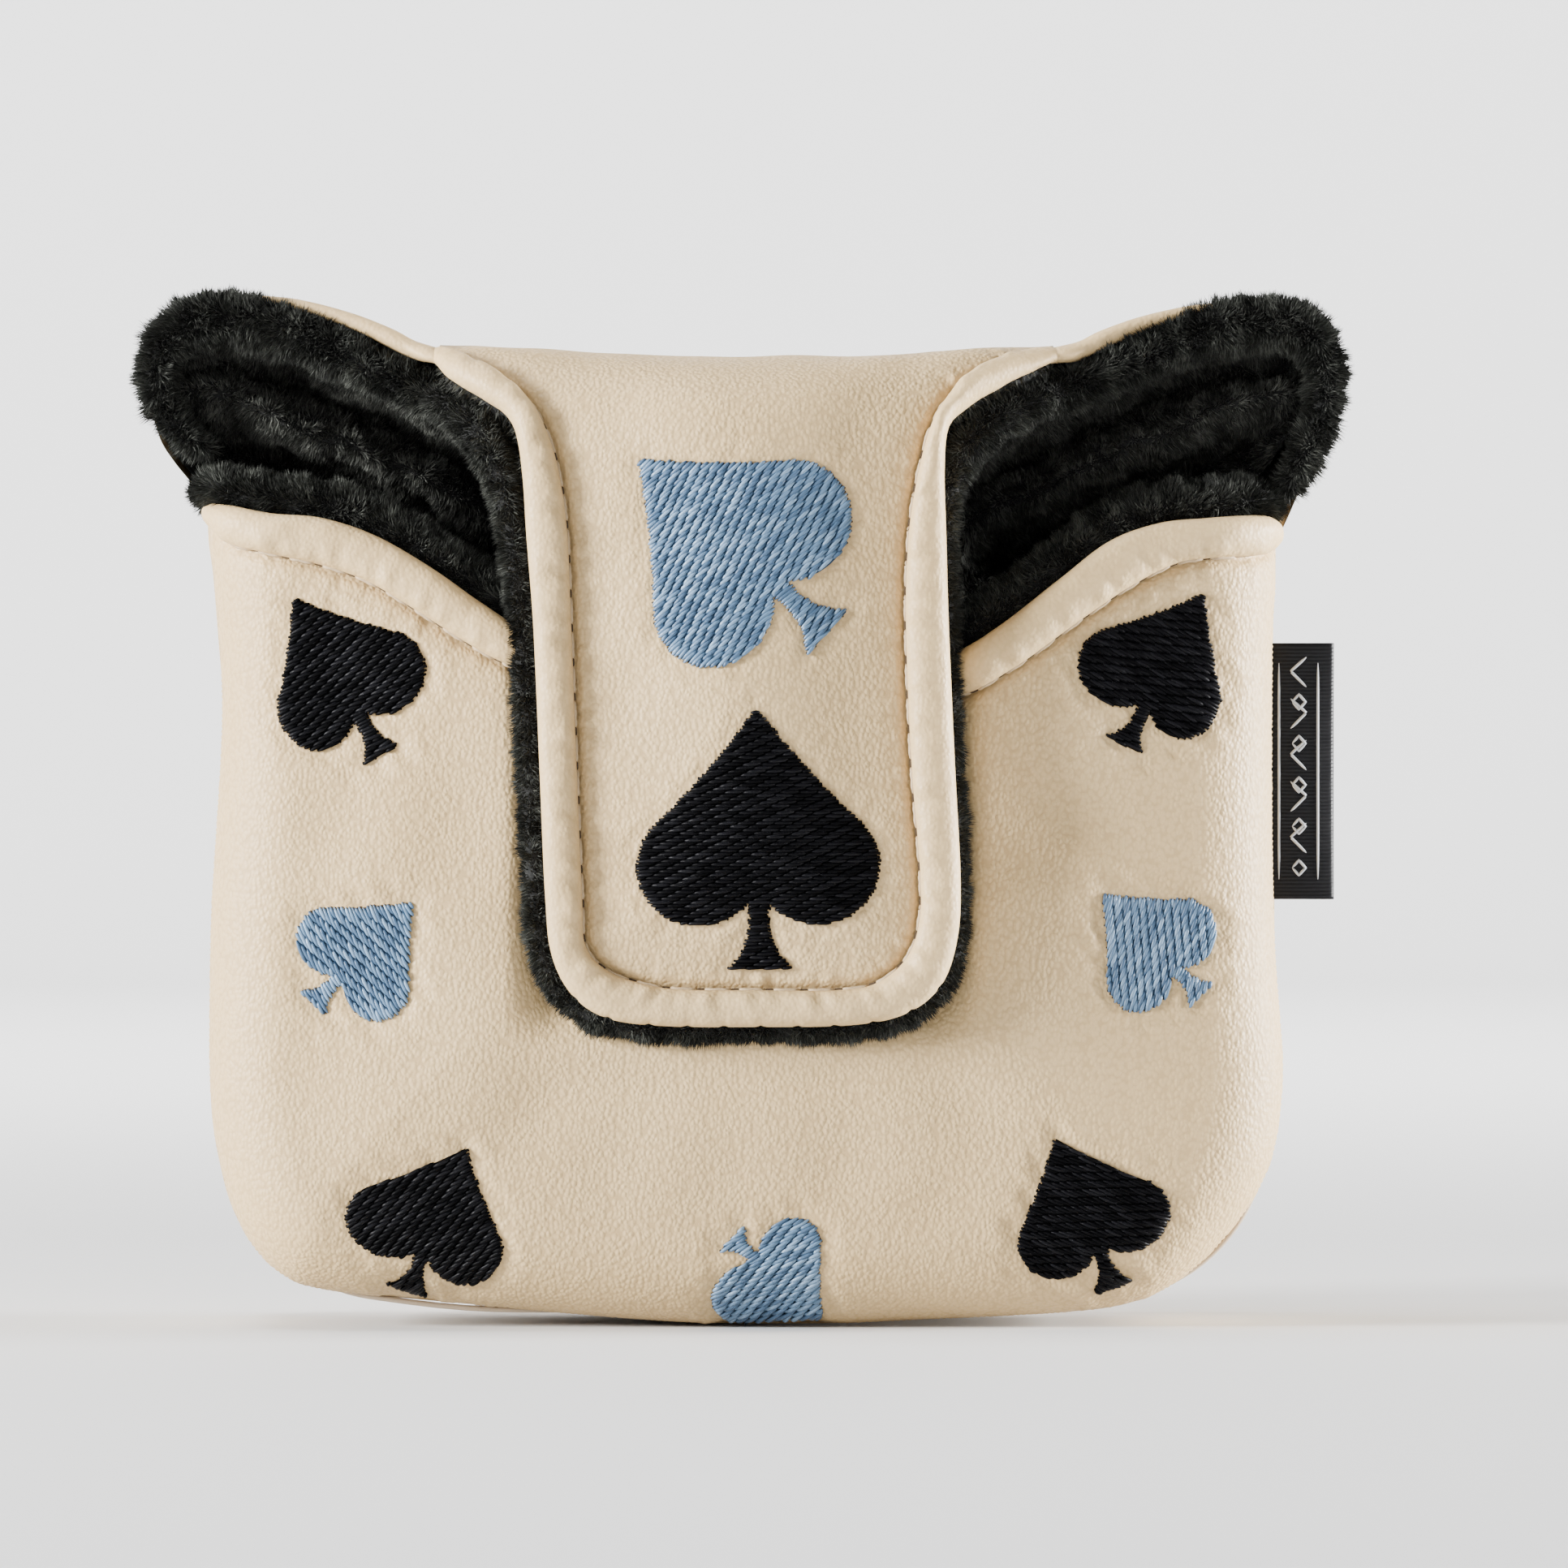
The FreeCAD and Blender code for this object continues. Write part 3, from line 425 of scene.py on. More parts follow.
def cloth_material(name, colour, other):
    """Backing cloth under the pile: mottled knit."""
    material, tree, shader = new_material(name)
    place = node(tree, "ShaderNodeTexCoord").outputs["Object"]
    lumps = noise(tree, place, 900.0, 4.0, 0.6)
    tree.links.new(mixed(tree, mapped(tree, lumps, 0.35, 0.7), colour, other), shader.inputs["Base Color"])
    shader.inputs["Roughness"].default_value = 0.95
    shader.inputs["Sheen Weight"].default_value = 0.03
    tree.links.new(node(tree, "ShaderNodeBump", {"Height": lumps, "Strength": 0.8, "Distance": 0.0005}).outputs[0],
                   shader.inputs["Normal"])
    return material


def thread_material(name, colour, rough=0.42, sheen=0.15, specular=0.5):
    """Twisted thread with a fine ply."""
    material, tree, shader = new_material(name)
    place = node(tree, "ShaderNodeTexCoord").outputs["Object"]
    shader.inputs["Base Color"].default_value = (*colour, 1)
    shader.inputs["Roughness"].default_value = rough
    shader.inputs["Sheen Weight"].default_value = sheen
    shader.inputs["Specular IOR Level"].default_value = specular
    ply = noise(tree, place, 5200.0, 2.0, 0.6)
    tree.links.new(node(tree, "ShaderNodeBump", {"Height": ply, "Strength": 0.5, "Distance": 0.00008}).outputs[0],
                   shader.inputs["Normal"])
    return material


def satin_material(name, colour):
    """Close satin weave of the label: fine crosswise ribs."""
    material, tree, shader = new_material(name)
    place = node(tree, "ShaderNodeTexCoord").outputs["Object"]
    ribs = node(tree, "ShaderNodeTexWave", {"Vector": place, "Scale": 700.0, "Distortion": 0.6, "Detail": 1.0},
                bands_direction="Z").outputs["Fac"]
    tone = mixed(tree, mapped(tree, ribs, 0.2, 0.9), colour, tuple(c * 2.1 for c in colour))
    tree.links.new(tone, shader.inputs["Base Color"])
    tree.links.new(mapped(tree, noise(tree, place, 400.0), 0.3, 0.7, 0.34, 0.5), shader.inputs["Roughness"])
    shader.inputs["Specular IOR Level"].default_value = 0.16
    tree.links.new(node(tree, "ShaderNodeBump", {"Height": ribs, "Strength": 0.5, "Distance": 0.00006}).outputs[0],
                   shader.inputs["Normal"])
    return material


def metal_material(name):
    """Nickel plating with a brushed, slightly stained face."""
    material, tree, shader = new_material(name)
    place = node(tree, "ShaderNodeTexCoord").outputs["Object"]
    stain = noise(tree, place, 700.0, 4.0)
    tree.links.new(mixed(tree, stain, (0.62, 0.61, 0.58), (0.38, 0.37, 0.35)), shader.inputs["Base Color"])
    tree.links.new(mapped(tree, stain, 0.3, 0.7, 0.25, 0.45), shader.inputs["Roughness"])
    shader.inputs["Metallic"].default_value = 1.0
    return material


LEATHER_SKIN = leather_material("cream_leather")
ROLL_SKIN = leather_material("cream_leather_rolled", strength=0.55)
BACKING = cloth_material("plush_backing", (0.0022, 0.0025, 0.0022), (0.006, 0.0065, 0.006))
# Shades of the black pile. The lighter mid and tip shades are painted sheen, mixed with tone that differs at random.
PILE = [BACKING, plush_material("pile_dark", (0.0165, 0.0174, 0.0150)),
        plush_material("pile_mid", (0.036, 0.038, 0.033)), plush_material("pile_sheen_tips", (0.076, 0.080, 0.069))]
# A lit copy of the same black pile for the folds inside the ears: painted light, each shade about 1.6 times as light
# as the outer pile's, to brighten the shade there.
LIT_INNER_PILE = [BACKING, plush_material("inner_pile_lit_dark", (0.028, 0.029, 0.025)),
              plush_material("inner_pile_lit_mid", (0.058, 0.060, 0.053)),
              plush_material("inner_pile_lit_sheen_tips", (0.120, 0.124, 0.108))]
CREAM_THREAD = thread_material("cream_thread", (0.43, 0.32, 0.19), 0.6, 0.0, 0.3)
# Dark brown thread colour for painted shadow in needle holes and along creases.
HOLE_SHADOW = thread_material("needle_hole_shadow", (0.070, 0.050, 0.034), 0.9, 0.0, 0.05)
# The first shade of each thread is the underlay, darker than most top stitches: painted shade between the stitches.
BLUE = [thread_material("blue_thread_under_shaded", (0.030, 0.060, 0.105), 0.6, 0.0, 0.1),
        thread_material("blue_thread_deep", (0.050, 0.100, 0.175), 0.36, 0.05, 0.35),
        thread_material("blue_thread", (0.090, 0.165, 0.265), 0.34, 0.05, 0.40),
        thread_material("blue_thread_bright", (0.155, 0.250, 0.370), 0.30, 0.05, 0.45), HOLE_SHADOW]
BLACK = [thread_material("black_thread_under_shaded", (0.0015, 0.0015, 0.0018), 0.6, 0.0, 0.03),
         thread_material("black_thread_deep", (0.0014, 0.0014, 0.0018), 0.42, 0.0, 0.04),
         thread_material("black_thread", (0.0022, 0.0022, 0.0029), 0.40, 0.0, 0.06),
         thread_material("black_thread_bright", (0.0040, 0.0040, 0.0052), 0.36, 0.0, 0.09),
         # Painted shadow in the needle holes at the row ends.
         thread_material("black_hole_shadow", (0.004, 0.003, 0.003), 0.9, 0.0, 0.02)]
SATIN = satin_material("label_satin", (0.0035, 0.0035, 0.0042))
WOVEN_MARK = thread_material("label_mark", (0.42, 0.44, 0.46), 0.5)
METAL = metal_material("magnet_nickel")
FOAM = cloth_material("padding_foam", (0.55, 0.52, 0.45), (0.70, 0.67, 0.60))
SEAM_THREAD = thread_material("seam_thread", (0.47, 0.37, 0.26), 0.55)

# ---- the embroidered spades ----------------------------------------------------------------------

# Name, tip and foot (x, z), thread, direction of the threads in degrees, body.
SPADES = [
    ("spade_upper_left", (-54.2, 87.5), (-43.8, 68.8), BLACK, 20, "pouch"),
    ("spade_upper_right", (54.7, 88.0), (45.4, 69.9), BLACK, -32, "pouch"),
    ("spade_middle_left", (-39.9, 51.1), (-51.8, 39.1), BLUE, 112, "pouch"),
    ("spade_middle_right", (42.6, 52.0), (54.4, 40.2), BLUE, 68, "pouch"),
    ("spade_lower_left", (-33.6, 21.8), (-40.6, 4.2), BLACK, 25, "pouch"),
    ("spade_lower_right", (37.0, 23.0), (44.1, 4.8), BLACK, -25, "pouch"),
    ("spade_bottom", (8.9, 0.9), (-1.7, 11.1), BLUE, 25, "pouch"),
    ("spade_flap_upper", (-12.7, 103.8), (9.7, 83.4), BLUE, 38, "flap"),
    ("spade_flap_lower", (1.2, 74.2), (1.6, 43.4), BLACK, 0, "flap"),
]
# How far the two lobes of some spades are drawn out or in by the pull of the threads: left, right.
SPADE_WIDTHS = {"spade_upper_left": (0.85, 1.02), "spade_upper_right": (1.05, 0.83),
                "spade_lower_left": (1.19, 1.0), "spade_lower_right": (0.98, 1.07),
                "spade_bottom": (1.12, 1.18), "spade_middle_left": (1.0, 1.0)}
# Half of a spade of height 1: the middle and end of each curve from the tip to the foot.
SPADE_TIP = (0.0, 1.0)
SPADE_CURVES = [((0.21, 0.745), (0.408, 0.545)), ((0.452, 0.33), (0.275, 0.176)),
                ((0.115, 0.2), (0.040, 0.262)), ((0.052, 0.09), (0.118, 0.0))]


def arc_through(start, middle, end, count=14):
    """Points on the circle through three places."""
    (ax, ay), (bx, by), (cx, cy) = start, middle, end
    d = 2 * (ax * (by - cy) + bx * (cy - ay) + cx * (ay - by))
    a2, b2, c2 = ax * ax + ay * ay, bx * bx + by * by, cx * cx + cy * cy
    ux = (a2 * (by - cy) + b2 * (cy - ay) + c2 * (ay - by)) / d
    uy = (a2 * (cx - bx) + b2 * (ax - cx) + c2 * (bx - ax)) / d
    first, half, last = (math.atan2(y - uy, x - ux) for x, y in (start, middle, end))
    radius = math.hypot(ax - ux, ay - uy)
    turn = (last - first + PI) % (2 * PI) - PI
    if abs(((half - first + PI) % (2 * PI) - PI)) > abs(turn):
        turn -= math.copysign(2 * PI, turn)
    angles = first + np.linspace(0, turn, count)[:-1]
    return np.stack([ux + radius * np.cos(angles), uy + radius * np.sin(angles)], axis=1)


def spade_outline(tip, foot, widths):
    """The closed outline of a spade in millimetres."""
    half, start = [], SPADE_TIP
    for middle, end in SPADE_CURVES:
        half.append(arc_through(start, middle, end))
        start = end
    half = np.vstack(half + [np.array([start])])
    whole = np.vstack([half * (widths[1], 1), (half * (-widths[0], 1))[:0:-1]])
    tip, foot = np.array(tip), np.array(foot)
    up = tip - foot
    return foot + whole[:, 1:] * up + whole[:, :1] * np.array([up[1], -up[0]])


SPADE_LINES = {name: spade_outline(tip, foot, SPADE_WIDTHS.get(name, (1, 1))) for name, tip, foot, *_ in SPADES}

# ---- the shape of the front ----------------------------------------------------------------------

EDGE = through(POUCH_EDGE, step=0.6)
FRONT_RAIL = through(FRONT_ROLL, step=0.5)
FRONT_CREASE = FRONT_RAIL[:, :2]
FRONT_LIP = FRONT_RAIL[:, 2:]

# Slack places in the front: x, z, width, height, depth and tilt.
DENTS = [
    (36.0, 62.0, 9.0, 3.6, 0.75, -35), (30.0, 56.0, 7.0, 4.5, 0.45, 20), (3.0, 30.5, 20.0, 3.2, 0.7, 0),
    (-33.0, 58.0, 6.0, 13.0, 0.5, 8), (-50.0, 61.0, 9.0, 4.0, 0.35, 15), (52.0, 62.0, 6.0, 4.0, 0.35, -20),
    (-24.0, 27.0, 8.0, 4.0, 0.4, 30), (27.0, 27.0, 7.0, 4.0, 0.45, -30), (18.0, 12.0, 9.0, 3.5, 0.35, 15),
    (-15.0, 11.0, 9.0, 3.0, 0.3, -12), (-57.0, 30.0, 4.0, 9.0, 0.3, 0), (57.0, 28.0, 4.0, 10.0, 0.3, 0),
]


def front_y(points):
    """Depth of the front leather at (x, z) places."""
    x, z = points[..., 0], points[..., 1]
    from_seam, _ = distance_to(EDGE, points)
    round_share = np.clip(from_seam / FRONT_ROUND, 0, 1)
    y = FRONT_SEAM_Y - FRONT_ROUND * np.sqrt(np.clip(1 - (1 - round_share) ** 2, 0, 1))
    inner = ease((from_seam - 3) / 16)
    under_flap = ease((29 - np.abs(x)) / 7) * ease((z - 33) / 8)
    crown = 3.4 * ease(from_seam / 36) * (1 - 0.9 * under_flap)
    y = y - crown
    for dent_x, dent_z, wide, high, deep, tilt in DENTS:
        angle = math.radians(tilt)
        across = (x - dent_x) * math.cos(angle) + (z - dent_z) * math.sin(angle)
        along = (z - dent_z) * math.cos(angle) - (x - dent_x) * math.sin(angle)
        y = y + deep * np.exp(-(across / wide) ** 2 - (along / high) ** 2) * inner
    return y + 0.22 * ripple(points, 30, 3) * inner


def spade_pull(points):
    """How the leather sinks at the embroidery and puckers round it."""
    pull = np.zeros(points.shape[:-1])
    for name, tip, foot, *_, body in SPADES:
        if body != "pouch":
            continue
        line = divide(np.vstack([SPADE_LINES[name], SPADE_LINES[name][:1]]), 0.4)
        near = np.linalg.norm(points - (np.array(tip) + foot) / 2, axis=-1) < 20
        gap, _ = distance_to(line, points[near])
        within = inside(line, points[near])
        signed = np.where(within, -gap, gap)
        sunk = 0.45 * ease((3.2 - signed) / 4.0)
        wrinkle = 0.16 * bump_at(signed - 1.6, 1.7) * ripple(points[near], 3.4, 8)
        pull[near] += sunk + np.where(within, 0, wrinkle)
    return pull


def crease_pull(points, line, seed, depth=0.9):
    """The valley that stitching draws in the leather, and the puckers beside it."""
    gap, nearest = distance_to(line, points)
    along = lengths_along(line)[nearest]
    rng = np.random.default_rng(seed)
    phase = rng.uniform(0, 2 * PI, 3)
    wave = (np.sin(along * 2 * PI / (STITCH_PITCH / 2) + phase[0])
            + 0.8 * np.sin(along * 2 * PI / STITCH_PITCH + phase[1])
            + 0.7 * np.sin(along * 2 * PI / 2.9 + phase[2])) / 2.5
    fade = 0.6 + 0.4 * ripple(points, 11.0, seed + 1)
    return 0.45 * depth * bump_at(gap, 2.4) + depth * bump_at(gap, 0.6) + 0.30 * wave * fade * bump_at(gap - 1.3, 1.3)


def on_front(points, height=0.0):
    """Places on the front leather's outer face, raised by a height."""
    step = 0.08
    y = front_y(points)
    slope_x = (front_y(points + (step, 0)) - front_y(points - (step, 0))) / (2 * step)
    slope_z = (front_y(points + (0, step)) - front_y(points - (0, step))) / (2 * step)
    slope_x, slope_z = np.clip(slope_x, -12, 12), np.clip(slope_z, -12, 12)
    way = unit(np.stack([slope_x, np.full_like(y, -1.0), slope_z], axis=-1))
    return np.stack([points[..., 0], y, points[..., 1]], axis=-1) + way * np.asarray(height)[..., None]


# ---- the shape of the flap and roof --------------------------------------------------------------

DROP = ROOF_Z - FOLD_ROUND - FLAP_TIP_Z
FOLD_LONG = FOLD_ROUND * PI / 2
ROOF_FLAT = BACK_Y - FLAP_Y - 2 * FOLD_ROUND
ROOF_START = DROP + FOLD_LONG
ROOF_END = ROOF_START + ROOF_FLAT
BACK_DOWN = ROOF_END + FOLD_LONG
FLAP_RAIL = through(FLAP_ROLL, step=0.5)
FLAP_CREASE = FLAP_RAIL[:, :2]
FLAP_LIP = FLAP_RAIL[:, 2:]


def on_flap(points, height=0.0):
    """Places on the flap and roof leather: x, and the length up the leather from the flap's tip."""
    x, t = points[..., 0], points[..., 1]
    front = np.clip((t - DROP) / FOLD_ROUND, 0, PI / 2)
    back = np.clip((t - ROOF_END) / FOLD_ROUND, 0, PI / 2)
    turn = front + back
    y = FLAP_Y + FOLD_ROUND * (1 - np.cos(front)) + np.clip(t - ROOF_START, 0, ROOF_FLAT) + FOLD_ROUND * np.sin(back)
    z = (ROOF_Z - FOLD_ROUND + np.minimum(t - DROP, 0) + FOLD_ROUND * np.sin(front)
         - FOLD_ROUND * (1 - np.cos(back)) - np.maximum(t - BACK_DOWN, 0))
    lift = 1.3 * (x / ROOF_HALF) ** 2 * ease((t - DROP - 4) / 12) * ease((BACK_DOWN - t) / 14)
    total = np.asarray(height) + lift
    return np.stack([x + 0 * t, y - np.cos(turn) * total, z + np.sin(turn) * total], axis=-1)


def flap_puff(points):
    """Height of the padded leather between the stitched creases."""
    gap, _ = distance_to(FLAP_CREASE, points)
    x, t = points[..., 0], points[..., 1]
    edge_gap = 37.6 - np.abs(x)
    roof = ease((t - ROOF_START + 15) / 13)
    puff = 2.9 * ease(np.minimum(gap, edge_gap) / 20) * (1 - roof)
    puff = puff + roof * ease(gap / 5) * (0.5 - 0.4 * ease(edge_gap / 30))
    return puff + 0.15 * ripple(points, 22, 21) * ease(gap / 8)


def spade_on_flap(line):
    return line - (0, FLAP_TIP_Z)


def flap_spade_pull(points):
    pull = np.zeros(points.shape[:-1])
    for name, tip, foot, *_, body in SPADES:
        if body != "flap":
            continue
        line = spade_on_flap(divide(np.vstack([SPADE_LINES[name], SPADE_LINES[name][:1]]), 0.4))
        near = np.linalg.norm(points - spade_on_flap((np.array(tip) + foot) / 2), axis=-1) < 26
        gap, _ = distance_to(line, points[near])
        signed = np.where(inside(line, points[near]), -gap, gap)
        pull[near] += 0.35 * ease((2.6 - signed) / 3.6) + 0.10 * bump_at(signed - 1.4, 1.4) * ripple(
            points[near], 3.0, 28)
    return pull


# ---- rolled edges, stitches and threads ----------------------------------------------------------

def roll(rail, surface, thick, seed, nick=0.0, nick_from=None, lift=0.3, slim=0.0):
    """A closed soft roll between a crease and an outer edge. rail holds crease and edge places."""
    crease, lip = rail[:, :2], rail[:, 2:]
    along = lengths_along((crease + lip) / 2)
    total = along[-1]
    end = np.sqrt(np.clip(1 - (1 - np.clip(np.minimum(along, total - along) / 2.0, 0, 1)) ** 2, 0.02, 1))
    end = np.ones(len(along)) if slim else end
    turns = np.linspace(0, 2 * PI, 28, endpoint=False)
    middle, half = (crease + lip) / 2, (lip - crease) / 2
    rng = np.random.default_rng(seed)
    phase = rng.uniform(0, 2 * PI, 4)
    pucker = (np.sin(along * 2 * PI / STITCH_PITCH + phase[0]) + 0.7 * np.sin(along * 2 * PI / 2.6 + phase[1])
              + 0.6 * np.sin(along * 2 * PI / 7.3 + phase[2])) / 2.3
    reach = np.ones(len(along))
    if nick:
        beat = np.abs((along / STITCH_PITCH) % 1 - 0.5) * 2
        mask = ease((nick_from[1] - np.abs(along - nick_from[0])) / 6)
        reach = reach - nick * mask * np.exp(-((1 - beat) / 0.16) ** 2)
    cosine, sine = np.cos(turns), np.sin(turns)
    rounded = np.sign(cosine) * np.abs(cosine) ** 0.85
    share = rounded[None, :] * end[:, None]
    share = np.where(share > 0, share * reach[:, None], share)
    places = middle[:, None, :] + half[:, None, :] * share[..., None]
    near_crease = ease((0.35 - rounded) / 1.2)[None, :]
    sunk = slim * ease((middle[:, 1] - 76) / 9) if slim else np.zeros(len(along))
    end = end * (1 - sunk)
    height = lift - 1.6 * sunk[:, None] + sine[None, :] * thick * end[:, None] * (1 + 0.10 * pucker[:, None] * near_crease)
    height = height + 0.16 * pucker[:, None] * near_crease * np.maximum(sine, 0)[None, :]
    height = height + 0.10 * ripple(places, 6.0, seed)
    return surface(places, height)


def tube_parts(line, radius, around=8, twist=0.0, lobes=0.0, slot=0):
    """A thin closed tube along 3-D points, tapered at both ends. Twisted lobes make it look plied."""
    count = len(line)
    way = unit(np.gradient(line, axis=0))
    side = unit(np.cross(way, np.array([0.13, 0.31, 0.94])))
    up = np.cross(side, way)
    share = np.linspace(-1, 1, count)
    taper = np.sqrt(np.clip(1 - np.abs(share) ** 6, 0.03, 1))
    turns = np.linspace(0, 2 * PI, around, endpoint=False)[None, :]
    along = lengths_along(line)[:, None]
    size = radius * taper[:, None] * (1 + lobes * np.cos(2 * turns - twist * along))
    ring = line[:, None] + size[..., None] * (np.cos(turns)[..., None] * side[:, None]
                                              + np.sin(turns)[..., None] * up[:, None])
    return ring, grid_faces(count, around, True)[:, ::-1], slot


def topstitching(name, line, surface, depth, hole_shadow_size, first=1.2):
    """Separate stitches along a crease, with painted shadow: short dark tubes in the needle holes between them and a
    thin dark tube along the crease.
    """
    along = lengths_along(line)
    parts = []
    start = first
    while start + STITCH_LONG < along[-1]:
        at = start + np.linspace(0, STITCH_LONG, 14)
        share = np.linspace(-1, 1, 14)
        places = np.stack([np.interp(at, along, column) for column in line.T], axis=1)
        height = -depth + 0.42 - 0.55 * np.abs(share) ** 4
        parts.append(tube_parts(surface(places, height), 0.27, 8, 4.2, 0.17, 0))
        # Painted shadow in the needle hole between two stitches.
        hole_shadow = start - (STITCH_PITCH - STITCH_LONG) / 2 + np.linspace(-0.6, 0.6, 6)
        places = np.stack([np.interp(hole_shadow, along, column) for column in line.T], axis=1)
        parts.append(tube_parts(surface(places, np.full(6, -depth + 0.02)), hole_shadow_size, 8, slot=1))
        start += STITCH_PITCH
    # Painted shadow: a thin dark tube all along the crease.
    gap = divide(line, 0.5)
    parts.append(tube_parts(surface(gap, np.full(len(gap), -depth + 0.08)), 0.13, 6, slot=1))
    points, faces, slots = merged(parts)
    return make(name, points, faces, [CREAM_THREAD, HOLE_SHADOW], slots)


def embroidered(name, outline_points, surface, shades, degrees, seed):
    """A spade filled with parallel stitches over a thread underlay, with small dark fans of painted shadow at the row
    ends.
    """
    rng = np.random.default_rng(seed)
    angle = math.radians(degrees)
    to_rows = np.array([[math.cos(angle), math.sin(angle)], [-math.sin(angle), math.cos(angle)]])
    turned = outline_points @ to_rows.T
    row_gap, stitch_long = 0.41, 2.2
    rows = np.arange(turned[:, 1].min() + 0.2, turned[:, 1].max(), row_gap)
    starts, ends = turned, np.roll(turned, -1, axis=0)
    stitches, tips = [], []
    for number, row in enumerate(rows):
        crossing = (starts[:, 1] > row) != (ends[:, 1] > row)
        a, b = starts[crossing], ends[crossing]
        cuts = np.sort(a[:, 0] + (row - a[:, 1]) * (b[:, 0] - a[:, 0]) / (b[:, 1] - a[:, 1]))
        for low, high in zip(cuts[::2], cuts[1::2]):
            low, high = low - rng.uniform(0.02, 0.32), high + rng.uniform(0.02, 0.32)
            tips += [(low, row), (high, row)]
            phase = stitch_long * (number * 0.37 + rng.uniform(-0.05, 0.05))
            first = low + (phase - low) % stitch_long
            joints = [low] + [j for j in np.arange(first, high, stitch_long) if low + 0.8 < j < high - 0.8] + [high]
            stitches += [(p - 0.12, q + 0.12, row) for p, q in zip(joints, joints[1:])]
    stitches = np.array(stitches)
    count, stations, around = len(stitches), 7, 6
    share = np.linspace(0, 1, stations)
    x = stitches[:, :1] + (stitches[:, 1:2] - stitches[:, :1]) * share
    slant = rng.uniform(-0.10, 0.10, (count, 1)) + 0.10
    y = stitches[:, 2:] + slant * (share - 0.5) * 2
    arch = np.clip(1 - np.abs(share * 2 - 1) ** 3.2, 0, 1)
    long = stitches[:, 1] - stitches[:, 0]
    crest = (0.16 + 0.20 * np.clip(long / 2, 0.3, 1) + rng.uniform(-0.04, 0.05, count))[:, None] * (0.25 + 0.75 * arch)
    turns = np.linspace(0, 2 * PI, around, endpoint=False) + PI / 6
    wide = 0.25 * (0.35 + 0.65 * np.sqrt(arch))
    ring_y = y[..., None] + wide[None, :, None] * np.cos(turns)
    ring_h = crest[..., None] + 0.20 * (0.4 + 0.6 * arch)[None, :, None] * np.sin(turns)
    flat = np.stack([np.broadcast_to(x[..., None], ring_y.shape), ring_y], axis=-1) @ to_rows
    threads = surface(flat, ring_h)
    index = np.arange(count)[:, None, None] * stations * around
    faces = (index + grid_faces(stations, around, True)[None]).reshape(-1, 4)
    shade = np.repeat(rng.choice([1, 2, 3], count, p=[0.3, 0.45, 0.25]), (stations - 1) * around)
    # The underlay takes the first, darker thread shade: painted shade seen between the stitches.
    under_border = divide(np.vstack([outline_points, outline_points[:1]]), 0.6)[:-1]
    low, high = outline_points.min(0), outline_points.max(0)
    under, under_faces = filled(under_border, honeycomb(low, high, 1.0), 0.4)
    parts = [(threads, triangles(faces), np.concatenate([shade, shade])),
             (surface(under, np.full(len(under), 0.14)), under_faces, 0)]
    # Painted shadow: a small dark fan at each needle hole where a row of stitches ends.
    octagon = np.linspace(0, 2 * PI, 6, endpoint=False)
    tips = np.array(tips)
    hole_shade_ring = tips[:, None, :] + 0.15 * np.stack([np.cos(octagon), np.sin(octagon)], axis=-1)[None]
    hole_shade_ring = hole_shade_ring.reshape(-1, 2) @ to_rows
    hole_shade_points = surface(hole_shade_ring, np.full(len(hole_shade_ring), 0.05)).reshape(len(tips), 6, 3)
    centre = surface(tips @ to_rows, np.full(len(tips), 0.20))[:, None, :]
    hole_shade_points = np.concatenate([hole_shade_points, centre], axis=1)
    fan = np.array([(k, (k + 1) % 6, 6) for k in range(6)])
    fan_faces = (np.arange(len(tips))[:, None, None] * 7 + fan[None]).reshape(-1, 3)
    parts.append((hole_shade_points, fan_faces, 4))
    points, faces, slots = merged(parts)
    return make(name, points, faces, shades, slots)


def closed_faces(grid):
    """Faces of a closed tube of points, turned outwards."""
    faces = grid_faces(*grid.shape[:2], True)
    corners = grid.reshape(-1, 3)[faces] - grid.reshape(-1, 3).mean(0)
    volume = np.einsum("ij,ij->i", corners[:, 0], np.cross(corners[:, 1], corners[:, 2])).sum()
    return faces if volume > 0 else faces[:, ::-1]


def outward_grid(grid, wrap=False):
    """The grid turned round, if need be, so that its normals leave a closed tube."""
    faces = closed_faces(grid)
    first = grid_faces(*grid.shape[:2], True)[0]
    return grid if (faces[0] == first).all() else grid[:, ::-1]


def soft_tube(rows, depth_share=1.0, step=0.9, around=18):
    """A closed tube along centre places with radii: rows hold x, y, z and radius."""
    line = through(rows, step=step)
    centre, radius = line[:, :3], line[:, 3]
    way = unit(np.gradient(centre, axis=0))
    beside = unit(np.cross(way, np.broadcast_to((0.0, 1.0, 0.0), way.shape)))
    deep = unit(np.cross(way, beside))
    count = len(line)
    share = np.linspace(-1, 1, count)
    radius = radius * np.sqrt(np.clip(1 - np.abs(share) ** 40, 0.02, 1))
    turns = np.linspace(0, 2 * PI, around, endpoint=False)
    offset = (np.cos(turns)[None, :, None] * beside[:, None]
              + depth_share * np.sin(turns)[None, :, None] * deep[:, None])
    grid = centre[:, None] + radius[:, None, None] * offset
    return outward_grid(grid)


# ---- the pouch -----------------------------------------------------------------------------------

SHEET_STEP = 0.6


def seam_tuck(points, from_seam, nearest, side_round):
    """How far leather beside a seam sinks towards the middle of the pouch, in x and z."""
    travelled = side_round * np.arccos(np.clip(1 - from_seam / side_round, -1, 1))
    way = unit(np.gradient(EDGE, axis=0))[nearest]
    inward = np.stack([-way[:, 1], way[:, 0]], axis=1)
    return inward * (0.15 * np.exp(-travelled / 0.6))[:, None]


